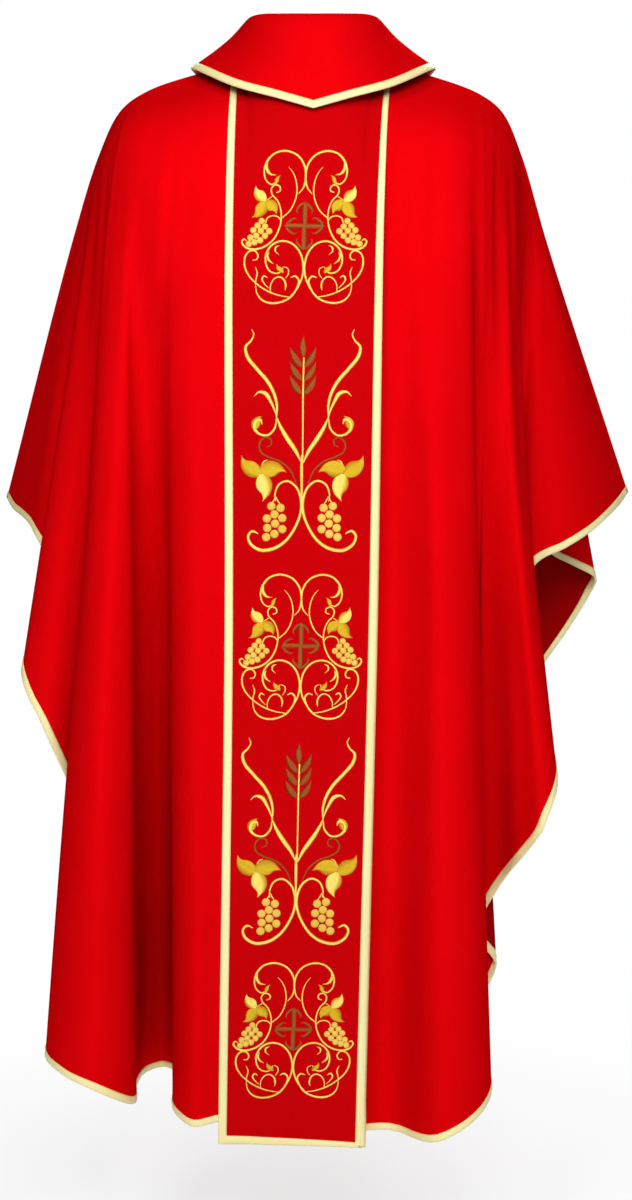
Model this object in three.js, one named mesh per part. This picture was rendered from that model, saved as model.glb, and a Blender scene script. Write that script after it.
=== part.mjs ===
// A chasuble: the ample outer vestment worn for Mass, a wide poncho of one layer of plain cloth.
// It is cut as two panels, a back and a front, joined by a seam that runs from the neck over the
// shoulder and along the top of the arm. The sides are left open. A turned-down collar stands
// round the neck, an embroidered band (the orphrey) is laid down the middle of the back, and a
// folded tape binds the hem, the collar and the band. The garment keeps the hollow form it has
// when it is worn with the arms a little out and forward.
//
// Frame, in millimetres: +Z up, -Y towards the back, +X to the wearer's right. The origin is the
// centre of the neck opening, at the height where the neck seam meets the shoulder seam.
import * as THREE from "three";

// ---- Driving dimensions -------------------------------------------------------------------
const CLOTH = 2; // wall of the two panels and of the collar
const BAND_CLOTH = 1.2; // wall of the band laid on the back
const TAPE = 0.8; // wall of the binding tape
const TAPE_WIDTH = 10; // how far the tape reaches in from an edge
const GAP = 0.3; // between two pieces at a seam
const TAPE_GAP = 0.5; // between the tape and the faces of the cloth that it is folded over
const EDGE_GAP = 1.4; // between the fold of the tape and the edge of that cloth

const NECK = { half: 75, back: 78, front: 95, drop: 62 }; // the neck opening, seen from above
const BAND_DROP = { left: 28, right: 16 }; // how far the band hangs below the hem

const vec = (x, y, z) => new THREE.Vector3(x, y, z);
const spline = (points) => new THREE.CatmullRomCurve3(points, false, "centripetal");

// ---- The seam over the shoulders and down the arms ------------------------------------------
// Straight runs between knots 1 (the neck), 4 (the shoulder's point), 6 and 7 (the cuff). A place
// on a panel's top edge is counted in these knots from the middle of the neck, minus to the left.
const SEAM_KNOTS = {
  left: [
    { x: -75, y: 0, z: 0 },
    { x: -150, y: 0, z: -16 },
    { x: -204, y: 0, z: -35 },
    { x: -235, y: 9, z: -56 },
    { x: -265, y: 36, z: -108 },
    { x: -300, y: 66, z: -205 },
    { x: -405, y: 200, z: -536 },
  ],
  right: [
    { x: 75, y: 0, z: 0 },
    { x: 150, y: 0, z: -18 },
    { x: 203, y: 0, z: -38 },
    { x: 230, y: 8, z: -58 },
    { x: 256, y: 30, z: -108 },
    { x: 291, y: 58, z: -213 },
    { x: 410, y: 165, z: -528 },
  ],
};
const SEAM_TURN = 6; // the knot from which a panel's first and last columns run down the seam
const SEAM_END = 7;

// A point of the seam's own line, at a place from 1 to 7 on the left (minus) or on the right.
function seamLine(place) {
  const knots = SEAM_KNOTS[place < 0 ? "left" : "right"];
  const count = THREE.MathUtils.clamp(Math.abs(place) - 1, 0, knots.length - 1);
  const knot = Math.min(Math.floor(count), knots.length - 2);
  const [from, to] = [knots[knot], knots[knot + 1]];
  return vec(from.x, from.y, from.z).lerp(vec(to.x, to.y, to.z), count - knot);
}

// The seam's point for one panel, half a gap to its own side, with the normal both panels share.
function seamAt(place, towards) {
  const side = Math.sign(place);
  const step = 0.25;
  const ahead = seamLine(side * Math.min(Math.abs(place) + step, SEAM_END));
  const behind = seamLine(side * Math.max(Math.abs(place) - step, 1));
  const tangent = ahead.sub(behind).normalize();
  const across = vec(0, 1, 0).addScaledVector(tangent, -tangent.y).normalize();
  const normal = tangent.clone().cross(across).multiplyScalar(side);
  const point = seamLine(place).addScaledVector(across, (towards * GAP) / 2);
  return { point, normal };
}

// A point of a panel's top edge: round the neck up to knot 1, then along the shoulder seam.
function topEdge(place, towards) {
  if (Math.abs(place) >= 1) return seamAt(place, towards).point;
  const angle = place * (Math.PI / 2);
  const reach = towards < 0 ? NECK.back : NECK.front;
  const drop = towards < 0 ? 0 : NECK.drop * Math.cos(angle) ** 2;
  return vec(NECK.half * Math.sin(angle), towards * reach * Math.cos(angle), -drop);
}

// ---- The fall lines -------------------------------------------------------------------------
// Each row is one line of the hanging cloth, a crest, an edge or the floor of a fold. It starts at
// a place on the top edge, turns over the shoulder or the arm to its "yoke" point, and falls from
// there to the hem. bow: how far its middle stands to the right of a straight line; cells: facets
// from this row to the next. The first and the last column of a panel are the seam itself.
const ROW = ["name", "place", "yokeX", "yokeY", "yokeZ", "hemX", "hemY", "hemZ", "bow", "cells"];
const BACK_ROWS = table(ROW, [
  ["left seam", -6, 0, 0, 0, 0, 0, 0, 0, 1],
  ["left cuff", -5.85, -314, 80, -262, -392, 160, -549, 0, 2],
  ["left sleeve", -5.7, -310, 70, -258, -376, 124, -557, 0, 1],
  ["left sleeve crest", -5.55, -305, 60, -254, -362, 94, -566, 0, 2],
  ["left sleeve lip", -5.4, -299, 49, -248, -349, 72, -586, 0, 1],
  ["first fold side", -5.28, -292, 39, -242, -330, 64, -625, 0, 2],
  ["first fold floor", -5.15, -285, 28, -234, -314, 48, -672, 0, 2],
  ["second fold back", -5, -282, 14, -226, -334, 22, -712, 0, 2],
  ["second fold edge", -4.84, -279, 1, -218, -359, 7, -735, 0, 2],
  ["second fold turn", -4.68, -274, -9, -213, -358, -10, -764, 0, 1],
  ["second fold crest", -4.5, -266, -20, -210, -336, -22, -808, 0, 2],
  ["second fold side", -4.25, -258, -38, -208, -304, -6, -886, 0, 2],
  ["second fold inside", -4, -250, -50, -210, -272, 30, -970, 0, 2],
  ["third fold floor", -3.82, -245, -58, -212, -250, 54, -1030, 0, 2],
  ["third fold turn", -3.7, -242, -62, -212, -236, 36, -1076, 0, 2],
  ["third fold back", -3.56, -242, -67, -210, -262, 0, -1142, 0, 2],
  ["third fold edge", -3.4, -246, -73, -205, -331, -50, -1211, 0, 2],
  ["third fold face", -3.2, -238, -82, -206, -306, -102, -1226, 0, 2],
  ["third fold crest", -3, -228, -90, -208, -266, -122, -1240, 0, 2],
  ["third fold side", -2.8, -219, -96, -212, -224, -80, -1270, 0, 2],
  ["left trough side", -2.66, -211, -100, -214, -228, 36, -1281, 0, 1],
  ["left trough corner", -2.5, -202, -103, -216, -222, 100, -1283, 0, 2],
  ["left trough floor", -2.36, -190, -106, -217, -200, 120, -1282, 0, 2],
  ["left trough back", -2.22, -180, -109, -217, -182, 94, -1281, 0, 1],
  ["fourth fold back", -2.1, -173, -111, -216, -177, 20, -1282, 0, 2],
  ["fourth fold edge", -2, -165, -113, -215, -171, -62, -1285, 0, 2],
  ["fourth fold crest", -1.7, -142, -117, -210, -146, -100, -1292, 0, 2],
  ["band left edge", -1.26, -102.5, -119, -205, -116.5, -90, -1289, 3, 1],
  ["band left tape", -1.13, -92.5, -120, -204, -106, -90, -1290, 3, 1],
  ["neck left", -1, -78, -121, -202, -89, -90, -1291, 2, 2],
  ["back left", -0.5, -45, -122, -198, -59, -89, -1294, 1, 2],
  ["middle", 0, -10, -122, -196, -28, -88, -1297, 0, 2],
  ["back right", 0.5, 26, -122, -198, 4, -88, -1300, 0, 2],
  ["neck right", 1, 57, -121, -202, 33, -88, -1303, 1, 1],
  ["band right tape", 1.12, 70.5, -120, -203, 49.5, -88, -1305, 2, 1],
  ["band right edge", 1.25, 80.5, -119, -205, 60, -88, -1306, 2, 2],
  ["right trough", 1.6, 106, -114, -208, 92, -68, -1310, 1, 2],
  ["fifth fold crest", 2, 136, -110, -212, 150, -128, -1302, 0, 2],
  ["fifth fold side", 2.25, 166, -104, -213, 200, -108, -1277, 0, 2],
  ["fifth fold edge", 2.5, 184, -95, -212, 221, -58, -1253, 0, 2],
  ["fifth fold back", 2.65, 190, -90, -213, 196, 6, -1242, 0, 1],
  ["right trough side", 2.78, 194, -86, -214, 176, 46, -1228, 0, 2],
  ["right trough floor", 2.89, 198, -83, -214, 186, 78, -1206, 0, 2],
  ["inner fold edge", 3, 202, -80, -213, 221, 74, -1168, -11, 1],
  ["inner fold turn", 3.1, 205, -77, -213, 233, 62, -1130, -11, 2],
  ["inner fold back", 3.24, 209, -73, -213, 208, 40, -1086, -1, 2],
  ["sixth fold side", 3.4, 214, -68, -212, 236, 18, -1016, 0, 2],
  ["sixth fold face", 3.7, 223, -57, -208, 262, -14, -974, -4, 2],
  ["sixth fold crest", 4, 234, -43, -200, 284, -41, -932, -9, 2],
  ["sixth fold edge", 4.22, 243, -30, -190, 300, -26, -884, -13, 2],
  ["sixth fold turn", 4.42, 248, -17, -188, 299, 4, -852, -11, 2],
  ["sixth fold back", 4.62, 251, -5, -200, 272, 22, -812, -6, 2],
  ["right sleeve inside", 4.8, 254, 5, -211, 248, 40, -766, 0, 2],
  ["right sleeve floor", 4.9, 258, 12, -218, 238, 60, -726, 0, 2],
  ["right sleeve side", 5, 263, 19, -225, 252, 74, -690, 0, 2],
  ["right sleeve lip", 5.2, 272, 27, -240, 280, 43, -612, 0, 2],
  ["right sleeve crest", 5.45, 284, 34, -252, 318, 50, -593, 0, 1],
  ["right sleeve", 5.57, 293, 40, -260, 352, 74, -574, 0, 2],
  ["right cuff", 5.72, 300, 48, -262, 386, 118, -549, 0, 2],
  ["right seam", 6, 0, 0, 0, 0, 0, 0, 0, 0],
]);
const FRONT_ROWS = table(ROW, [
  ["left seam", -6, 0, 0, 0, 0, 0, 0, 0, 1],
  ["left cuff", -5.82, -316, 101, -264, -399, 219, -549, 0, 1],
  ["left sleeve", -5.66, -312, 108, -260, -380, 228, -568, 0, 2],
  ["left sleeve side", -5.52, -306, 108, -256, -350, 202, -592, 0, 1],
  ["first fold inside", -5.4, -300, 107, -251, -325, 195, -603, 0, 1],
  ["first fold floor", -5.3, -295, 107, -248, -311, 206, -616, 0, 2],
  ["first fold back", -5.2, -291, 108, -244, -323, 228, -640, 0, 2],
  ["first fold edge", -5, -287, 110, -238, -346, 250, -692, 0, 2],
  ["first fold face", -4.8, -280, 113, -232, -336, 273, -728, 0, 2],
  ["first fold crest", -4.5, -270, 114, -226, -304, 276, -772, 0, 2],
  ["first fold side", -4.25, -260, 112, -222, -268, 248, -846, 0, 2],
  ["second fold inside", -4, -251, 109, -220, -247, 202, -905, 0, 2],
  ["second fold floor", -3.76, -244, 106, -217, -240, 173, -956, 0, 2],
  ["second fold turn", -3.56, -238, 105, -215, -224, 160, -1000, 0, 2],
  ["second fold back", -3.3, -230, 105, -214, -210, 182, -1050, 0, 2],
  ["second fold edge", -3, -219, 107, -212, -208, 207, -1112, 0, 2],
  ["second fold crest", -2.75, -204, 108, -212, -194, 223, -1158, 0, 1],
  ["second fold face", -2.55, -192, 109, -212, -177, 218, -1184, 0, 2],
  ["second fold side", -2.3, -174, 108, -213, -150, 174, -1204, 0, 2],
  ["left trough", -2, -152, 107, -215, -122, 132, -1216, 0, 2],
  ["left middle side", -1.7, -128, 110, -213, -92, 160, -1226, 0, 2],
  ["left middle crest", -1.4, -106, 112, -211, -64, 186, -1233, 0, 2],
  ["neck left", -1, -76, 114, -208, -38, 170, -1236, 0, 2],
  ["front left", -0.5, -38, 115, -206, -16, 150, -1238, 0, 1],
  ["middle", 0, 0, 114, -205, 4, 144, -1238, 0, 1],
  ["front right", 0.5, 38, 115, -206, 24, 151, -1237, 0, 2],
  ["neck right", 1, 76, 114, -208, 44, 170, -1235, 0, 2],
  ["right middle crest", 1.4, 106, 112, -211, 69, 184, -1231, 0, 2],
  ["right middle side", 1.7, 128, 110, -213, 94, 158, -1223, 0, 2],
  ["right trough", 2, 153, 107, -215, 122, 132, -1214, 0, 2],
  ["third fold side", 2.3, 175, 108, -213, 150, 174, -1202, 0, 2],
  ["third fold face", 2.55, 193, 109, -212, 178, 218, -1180, 0, 1],
  ["third fold crest", 2.75, 205, 108, -212, 196, 223, -1154, 0, 2],
  ["third fold edge", 3, 220, 107, -212, 212, 207, -1104, 0, 2],
  ["third fold back", 3.3, 232, 105, -214, 215, 178, -1040, 0, 2],
  ["third fold turn", 3.56, 240, 105, -215, 228, 158, -984, 0, 2],
  ["third fold floor", 3.76, 246, 106, -217, 244, 174, -936, 0, 2],
  ["fourth fold inside", 4, 253, 109, -220, 258, 212, -868, 0, 2],
  ["fourth fold side", 4.25, 263, 112, -224, 296, 262, -790, 0, 2],
  ["fourth fold crest", 4.5, 274, 114, -228, 346, 270, -718, 0, 1],
  ["fourth fold face", 4.8, 284, 112, -234, 372, 260, -672, 0, 2],
  ["fourth fold edge", 5, 288, 108, -240, 378, 236, -647, 0, 2],
  ["fourth fold back", 5.2, 290, 104, -246, 346, 217, -627, 0, 2],
  ["fourth fold floor", 5.32, 292, 101, -249, 320, 210, -614, 0, 2],
  ["fourth fold turn", 5.42, 294, 98, -252, 312, 198, -604, 0, 1],
  ["right sleeve side", 5.54, 298, 95, -256, 328, 188, -597, 0, 1],
  ["right sleeve", 5.68, 303, 91, -262, 376, 197, -572, 0, 1],
  ["right cuff", 5.83, 307, 84, -266, 402, 186, -545, 0, 1],
  ["right seam", 6, 0, 0, 0, 0, 0, 0, 0, 0],
]);

// Turns rows of values into objects with named columns.
function table(columns, rows) {
  return rows.map((row) => Object.fromEntries(columns.map((name, i) => [name, row[i]])));
}

// Shares of a fall line's length, closer together where it turns over the shoulder.
const LEVELS = [0, 0.03, 0.068, 0.11, 0.16, 0.225, 0.31, 0.44, 0.58, 0.72, 0.86, 1];

// One fall line as points at each level.
function fallLine(row, towards) {
  if (Math.abs(row.place) === SEAM_TURN) {
    const reach = SEAM_END - SEAM_TURN;
    const down = (level) => Math.sign(row.place) * (SEAM_TURN + level * reach);
    return LEVELS.map((level) => seamAt(down(level), towards).point);
  }
  const top = topEdge(row.place, towards);
  const yoke = vec(row.yokeX, row.yokeY, row.yokeZ);
  const hem = vec(row.hemX, row.hemY, row.hemZ);
  // It turns over the shoulder in a quarter of an ellipse, and hangs straight from the arm.
  const round = THREE.MathUtils.clamp(SEAM_TURN - 0.5 - Math.abs(row.place), 0, 1) * 0.207;
  const turn = vec(
    THREE.MathUtils.lerp(top.x, yoke.x, 0.5),
    THREE.MathUtils.lerp(top.y, yoke.y, 0.5 + round),
    THREE.MathUtils.lerp(top.z, yoke.z, 0.5 - round),
  );
  const middle = yoke.clone().lerp(hem, 0.45);
  middle.x += row.bow;
  const curve = spline([top, turn, yoke, middle, hem]);
  return LEVELS.map((level) => curve.getPointAt(level));
}

// A panel as a grid of columns from left to right, each with its points from the top edge to the
// hem and the outward normals there. The last ring of facets is as wide as the hem's tape.
function drape(rows, towards) {
  const lines = rows.map((row) => fallLine(row, towards));
  const across = LEVELS.map((_, level) => spline(lines.map((line) => line[level])));
  const columns = [];
  rows.forEach((row, i) => {
    const next = rows[i + 1] ?? row;
    for (let cell = 0; cell < Math.max(row.cells, 1); cell++) {
      const share = cell / Math.max(row.cells, 1);
      const place = THREE.MathUtils.lerp(row.place, next.place, share);
      const points = across.map((curve) => curve.getPoint((i + share) / (rows.length - 1)));
      const slip = topEdge(place, towards).sub(points[0]);
      points.forEach((p, level) => {
        p.addScaledVector(slip, Math.max(1 - LEVELS[level] * 4, 0) ** 2);
      });
      columns.push({ name: cell ? null : row.name, place, points });
    }
  });
  columns.forEach((column, c) => addRing(column, columns[c - 1] ?? column, columns[c + 1] ?? column));
  columns.forEach((column, c) => {
    column.normals = column.points.map((_, level) => {
      if (c === 0 || c === columns.length - 1) {
        const down = Math.min(column.points[level].distanceTo(column.points[0]) / 376, 1);
        return seamAt(column.place + Math.sign(column.place) * down, towards).normal;
      }
      if (level === 0 && Math.abs(column.place) >= 1) return seamAt(column.place, towards).normal;
      return facing(columns, c, level).multiplyScalar(towards);
    });
  });
  return columns;
}

// Puts a point into a column one tape's width above the hem, square to the hem.
function addRing(column, before, after) {
  const { points } = column;
  const hem = points[points.length - 1];
  const rise = points[points.length - 2].clone().sub(hem);
  const slants = [before, after].filter((other) => other !== column).map((other) => {
    const along = other.points[other.points.length - 1].clone().sub(hem).normalize();
    return rise.clone().normalize().cross(along).length();
  });
  const slant = slants.reduce((sum, value) => sum + value, 0) / slants.length;
  const reach = TAPE_WIDTH / Math.max(slant, 0.35);
  const share = Math.min(reach / rise.length(), 0.7);
  points.splice(points.length - 1, 0, hem.clone().addScaledVector(rise, share));
}

// Unit vector square to a grid of columns at one of its points.
function facing(columns, c, level) {
  const levels = columns[c].points;
  const before = columns[Math.max(c - 1, 0)].points[level];
  const after = columns[Math.min(c + 1, columns.length - 1)].points[level];
  const above = levels[Math.max(level - 1, 0)];
  const below = levels[Math.min(level + 1, levels.length - 1)];
  return after.clone().sub(before).cross(below.clone().sub(above)).normalize();
}

// ---- Walls ----------------------------------------------------------------------------------
// A closed wall on the cells of a grid that keep() accepts. lift(level) is the height of its
// middle over the grid's points, and thick its thickness.
function wall(columns, thick, lift = () => 0, keep = () => true) {
  const levels = columns[0].points.length;
  const positions = [];
  for (const column of columns) {
    for (let level = 0; level < levels; level++) {
      for (const half of [-thick / 2, thick / 2]) {
        const p = column.points[level].clone();
        p.addScaledVector(column.normals[level], lift(level) + half);
        positions.push(p.x, p.y, p.z);
      }
    }
  }
  const inner = ([c, level]) => (c * levels + level) * 2;
  const outer = (corner) => inner(corner) + 1;
  const faces = [];
  const quad = (a, b, c, d) => faces.push(a, b, c, a, c, d);
  const kept = (c, level) =>
    c >= 0 && level >= 0 && c < columns.length - 1 && level < levels - 1 && keep(c, level);
  for (let c = 0; c < columns.length - 1; c++) {
    for (let level = 0; level < levels - 1; level++) {
      if (!kept(c, level)) continue;
      const corners = [[c, level], [c + 1, level], [c + 1, level + 1], [c, level + 1]];
      const beside = [[c, level - 1], [c + 1, level], [c, level + 1], [c - 1, level]];
      // The last column runs on down the seam, so its first cell is cut along the other diagonal.
      const turned = level === 0 && c === columns.length - 2;
      const [p, q, r, s] = turned ? [...corners.slice(1), corners[0]] : corners;
      quad(outer(p), outer(q), outer(r), outer(s));
      quad(inner(p), inner(s), inner(r), inner(q));
      beside.forEach((cell, k) => {
        if (kept(...cell)) return;
        const [from, to] = [corners[k], corners[(k + 1) % 4]];
        quad(inner(from), inner(to), outer(to), outer(from));
      });
    }
  }
  return geometry(positions, faces);
}

// A solid swept through sections of equally many points. It is closed on itself, or capped at both
// ends, where the second half of a section runs back along its first half. turned(k) swaps the
// diagonal of the facets that follow a section's side k.
function sweep(sections, closed, turned = () => false) {
  const size = sections[0].length;
  const positions = sections.flat().flatMap((p) => [p.x, p.y, p.z]);
  const faces = [];
  for (let s = 0; s < (closed ? sections.length : sections.length - 1); s++) {
    const here = s * size;
    const there = ((s + 1) % sections.length) * size;
    for (let k = 0; k < size; k++) {
      const next = (k + 1) % size;
      const [a, b, c, d] = [here + k, there + k, there + next, here + next];
      faces.push(...(turned(k) ? [a, b, d, b, c, d] : [a, b, c, a, c, d]));
    }
  }
  const last = (sections.length - 1) * size;
  for (let k = 0; k < size / 2 - 1 && !closed; k++) {
    const [a, b, c, d] = [k, k + 1, size - 2 - k, size - 1 - k];
    faces.push(a, b, c, a, c, d);
    faces.push(last + a, last + c, last + b, last + a, last + d, last + c);
  }
  return geometry(positions, faces);
}

// A geometry from points and triangles, turned to face outwards.
function geometry(positions, faces) {
  const at = (i) => vec(positions[i * 3], positions[i * 3 + 1], positions[i * 3 + 2]);
  let volume = 0;
  for (let i = 0; i < faces.length; i += 3) {
    volume += at(faces[i]).dot(at(faces[i + 1]).cross(at(faces[i + 2])));
  }
  if (volume < 0) faces.reverse();
  const made = new THREE.BufferGeometry();
  made.setAttribute("position", new THREE.Float32BufferAttribute(positions, 3));
  made.setIndex(faces);
  const split = made.toNonIndexed();
  split.computeVertexNormals();
  return split;
}

// Folded tape over the edge of a wall: a channel that follows the wall's last ring of facets.
// Each station has the edge's point and normal, and the ring's point and normal in from it.
function binding(stations, closed) {
  const inner = CLOTH / 2 + TAPE_GAP;
  const outer = inner + TAPE;
  const sections = stations.map(({ edge, ring }) => {
    const wide = edge.point.distanceTo(ring.point);
    const out = edge.point.clone().sub(ring.point).normalize();
    const slant = TAPE_WIDTH / wide;
    const at = (station, height, past = 0) =>
      station.point.clone().addScaledVector(station.normal, height).addScaledVector(out, past / slant);
    return [
      at(ring, outer),
      at(edge, outer, EDGE_GAP + TAPE),
      at(edge, -outer, EDGE_GAP + TAPE),
      at(ring, -outer),
      at(ring, -inner),
      at(edge, -inner, EDGE_GAP),
      at(edge, inner, EDGE_GAP),
      at(ring, inner),
    ];
  });
  return sweep(sections, closed, (k) => [2, 5, 6].includes(k));
}

// The stations of a panel's hem, and of the collar's edge.
function hemStations(columns) {
  return columns.map(({ points, normals }) => {
    const last = points.length - 1;
    const at = (level) => ({ point: points[level], normal: normals[level] });
    return { edge: at(last), ring: at(last - 1) };
  });
}

// ---- The collar -----------------------------------------------------------------------------
// Half of the collar, from the middle of the back round to the middle of the front; the other half
// is its mirror image. foot: where its standing part is sewn inside the neck; fold: its folded top;
// edge: the lower edge of the part that is turned down, and swell: how far it stands off its chord.
const COLLAR_ROWS = table(
  ["footX", "footY", "footZ", "foldX", "foldY", "foldZ", "edgeX", "edgeY", "edgeZ", "swell"],
  [
    [0, -70, -12, 0, -84, 45, 0, -123, -68, 4],
    [27, -64, -12, 34, -78, 46, 41, -118, -56, 3],
    [50, -47, -11, 64, -54, 49, 93, -92, -39, 0],
    [66, -14, -10, 80, -10, 48, 145, -18, -9, -2],
    [66, 24, -14, 80, 30, 41, 142, 34, -12, -1],
    [50, 58, -34, 62, 66, 19, 104, 98, -64, 2],
    [27, 73, -58, 32, 87, -4, 54, 118, -118, 3],
    [0, 81, -68, 0, 93, -12, 0, 124, -152, 3],
  ],
);
const COLLAR_STEPS = 21; // facets round each half
const COLLAR_ROLL = 4; // radius of the fold at the collar's top

// The collar's middle surface as a closed ring of lines, each from the foot of the standing part
// over the fold and down to the lower edge, with their outward normals.
function collarGrid() {
  const curve = (name) => spline(COLLAR_ROWS.map((r) => vec(r[name + "X"], r[name + "Y"], r[name + "Z"])));
  const [feet, folds, edges] = ["foot", "fold", "edge"].map(curve);
  const swells = spline(COLLAR_ROWS.map((r, i) => vec(i, r.swell, 0)));
  const half = [];
  for (let step = 0; step <= COLLAR_STEPS; step++) {
    const place = step / COLLAR_STEPS;
    const [foot, fold, edge] = [feet, folds, edges].map((c) => c.getPoint(place));
    const out = vec(edge.x - foot.x, edge.y - foot.y, 0).normalize();
    const chord = edge.clone().sub(fold);
    const bulge = swells.getPoint(place).y;
    const swell = out.clone().addScaledVector(chord, -out.dot(chord) / chord.lengthSq()).normalize();
    const shift = (share, height) =>
      fold.clone().lerp(edge, share).addScaledVector(swell, height);
    half.push([
      foot,
      foot.clone().lerp(fold, 0.5),
      fold.clone().addScaledVector(out, -COLLAR_ROLL).add(vec(0, 0, -COLLAR_ROLL)),
      fold.clone(),
      fold.clone().addScaledVector(out, COLLAR_ROLL).add(vec(0, 0, -COLLAR_ROLL * 0.8)),
      shift(0.33, bulge),
      shift(0.63, bulge * 0.8),
      edge.clone().addScaledVector(chord, -TAPE_WIDTH / chord.length()),
      edge,
    ]);
  }
  const mirrored = half.slice(1, -1).reverse();
  const lines = [...half, ...mirrored.map((line) => line.map((p) => vec(-p.x, p.y, p.z)))];
  return lines.map((points, i) => {
    const before = lines[(i + lines.length - 1) % lines.length];
    const after = lines[(i + 1) % lines.length];
    const normals = points.map((_, k) => {
      const up = points[Math.max(k - 1, 0)];
      const down = points[Math.min(k + 1, points.length - 1)];
      return down.clone().sub(up).cross(after[k].clone().sub(before[k])).normalize();
    });
    return { points, normals };
  });
}

// The collar's wall: each line gives a section that runs down one face and back up the other.
function collarWall(grid) {
  const side = ({ points, normals }, height) =>
    points.map((p, k) => p.clone().addScaledVector(normals[k], height));
  const sections = grid.map((line) => [
    ...side(line, CLOTH / 2),
    ...side(line, -CLOTH / 2).reverse(),
  ]);
  return sweep(sections, true, (k) => k >= grid[0].points.length);
}

// ---- The band down the back -----------------------------------------------------------------
// The band lies on the back panel's own points, moved out, and hangs a little below the hem.
function bandGrid(columns) {
  const from = columns.findIndex((column) => column.name === "band left edge");
  const to = columns.findIndex((column) => column.name === "band right edge");
  return columns.slice(from, to + 1).map(({ points, normals }, i) => {
    const last = points.length - 1;
    const down = points[last].clone().sub(points[last - 1]).normalize();
    const drop = THREE.MathUtils.lerp(BAND_DROP.left, BAND_DROP.right, i / (to - from));
    const lower = [drop - TAPE_WIDTH, drop].map((d) => points[last].clone().addScaledVector(down, d));
    return { points: [...points, ...lower], normals: [...normals, normals[last], normals[last]] };
  });
}

// Its height over the panel's middle: on the cloth, and over the hem's tape near its lower end.
function bandLift(level) {
  const overTape = level >= LEVELS.length - 1 ? TAPE_GAP + TAPE : 0;
  return CLOTH / 2 + GAP + BAND_CLOTH / 2 + overTape;
}
const bandTapeLift = (level) => bandLift(level) + BAND_CLOTH / 2 + GAP + TAPE / 2;

// ---- Colours --------------------------------------------------------------------------------
const finish = (color, roughness) =>
  new THREE.MeshStandardMaterial({ color, roughness, metalness: 0, side: THREE.DoubleSide });
const RED_CLOTH = finish(0xd80a14, 0.62);
const BAND_RED = finish(0xb8060f, 0.8);
const GOLD_TAPE = finish(0xf1dc8c, 0.5);

// ---- The garment ----------------------------------------------------------------------------
const chasuble = new THREE.Group();
function add(name, shape, material) {
  const mesh = new THREE.Mesh(shape, material);
  mesh.name = name;
  chasuble.add(mesh);
}

const back = drape(BACK_ROWS, -1);
const front = drape(FRONT_ROWS, 1);
add("back_panel", wall(back, CLOTH), RED_CLOTH);
add("front_panel", wall(front, CLOTH), RED_CLOTH);
add("back_hem_binding", binding(hemStations(back), false), GOLD_TAPE);
add("front_hem_binding", binding(hemStations(front), false), GOLD_TAPE);

const band = bandGrid(back);
const lowest = band[0].points.length - 2;
const onBandEdge = (c, level) => c === 0 || c === band.length - 2 || level === lowest;
add("back_band", wall(band, BAND_CLOTH, bandLift), BAND_RED);
add("back_band_binding", wall(band, TAPE, bandTapeLift, onBandEdge), GOLD_TAPE);

const collar = collarGrid();
add("collar", collarWall(collar), RED_CLOTH);
add("collar_binding", binding(hemStations(collar), true), GOLD_TAPE);

export default chasuble;
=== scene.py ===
import math

import bmesh
import bpy
import numpy as np
from mathutils.bvhtree import BVHTree
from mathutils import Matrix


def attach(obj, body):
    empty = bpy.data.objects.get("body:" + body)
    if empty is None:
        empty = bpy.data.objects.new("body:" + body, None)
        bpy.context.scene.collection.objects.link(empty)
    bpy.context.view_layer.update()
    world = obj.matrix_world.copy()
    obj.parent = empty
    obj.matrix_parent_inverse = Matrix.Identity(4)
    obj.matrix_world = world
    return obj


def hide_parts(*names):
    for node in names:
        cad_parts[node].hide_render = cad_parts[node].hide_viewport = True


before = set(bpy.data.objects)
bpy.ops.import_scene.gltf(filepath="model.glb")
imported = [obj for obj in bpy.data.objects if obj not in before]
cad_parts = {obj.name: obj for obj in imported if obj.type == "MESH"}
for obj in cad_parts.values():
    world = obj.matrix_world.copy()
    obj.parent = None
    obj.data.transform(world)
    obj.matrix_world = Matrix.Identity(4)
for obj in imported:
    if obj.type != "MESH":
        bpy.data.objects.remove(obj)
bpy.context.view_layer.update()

# ==== Camera, light and floor ==================================================================
# The back of the garment is seen from a little above its middle, by soft studio light: a lamp over
# the camera and one on either side, a broad one behind the garment, and pale walls all round.
CAMERA_PLACE = (0.003, -2.8494, -0.4060)
CAMERA_PITCH = 5.0  # degrees below the horizon
LENS = 69.13  # for a picture 36 mm high
FLOOR_HEIGHT = -1.50  # the neck seam of a standing wearer is 1.5 m up

camera = bpy.data.objects.new("camera", bpy.data.cameras.new("camera"))
camera.data.sensor_fit = "VERTICAL"
camera.data.sensor_height = 36.0
camera.data.lens = LENS
camera.location = CAMERA_PLACE
camera.rotation_euler = (math.radians(90 - CAMERA_PITCH), 0, 0)
scene = bpy.context.scene
scene.collection.objects.link(camera)
scene.camera = camera
scene.view_settings.view_transform = "Standard"

LAMP_AIM = np.array((0, 0, -0.65))  # the middle of the garment


def lamp(name, place, size, power):
    """A rectangular area lamp that faces the middle of the garment."""
    light = bpy.data.lights.new(name, "AREA")
    light.shape = "RECTANGLE"
    light.size, light.size_y = size
    light.energy = power
    holder = bpy.data.objects.new(name, light)
    holder.location = place
    aim = LAMP_AIM - np.array(place)
    yaw = math.atan2(aim[1], aim[0]) - math.pi / 2
    pitch = math.atan2(aim[2], math.hypot(aim[0], aim[1]))
    holder.rotation_euler = (math.pi / 2 + pitch, 0, yaw)
    scene.collection.objects.link(holder)


lamp("front_lamp", (0.1, -3.1, 0.8), (0.9, 0.9), power=62)
lamp("left_lamp", (-1.2, -2.7, 1.3), (0.9, 1.2), power=50)
lamp("right_lamp", (1.2, -2.7, 1.3), (0.9, 1.2), power=46)
lamp("back_lamp", (0.4, 2.8, 1.2), (2.2, 1.6), power=95)


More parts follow.
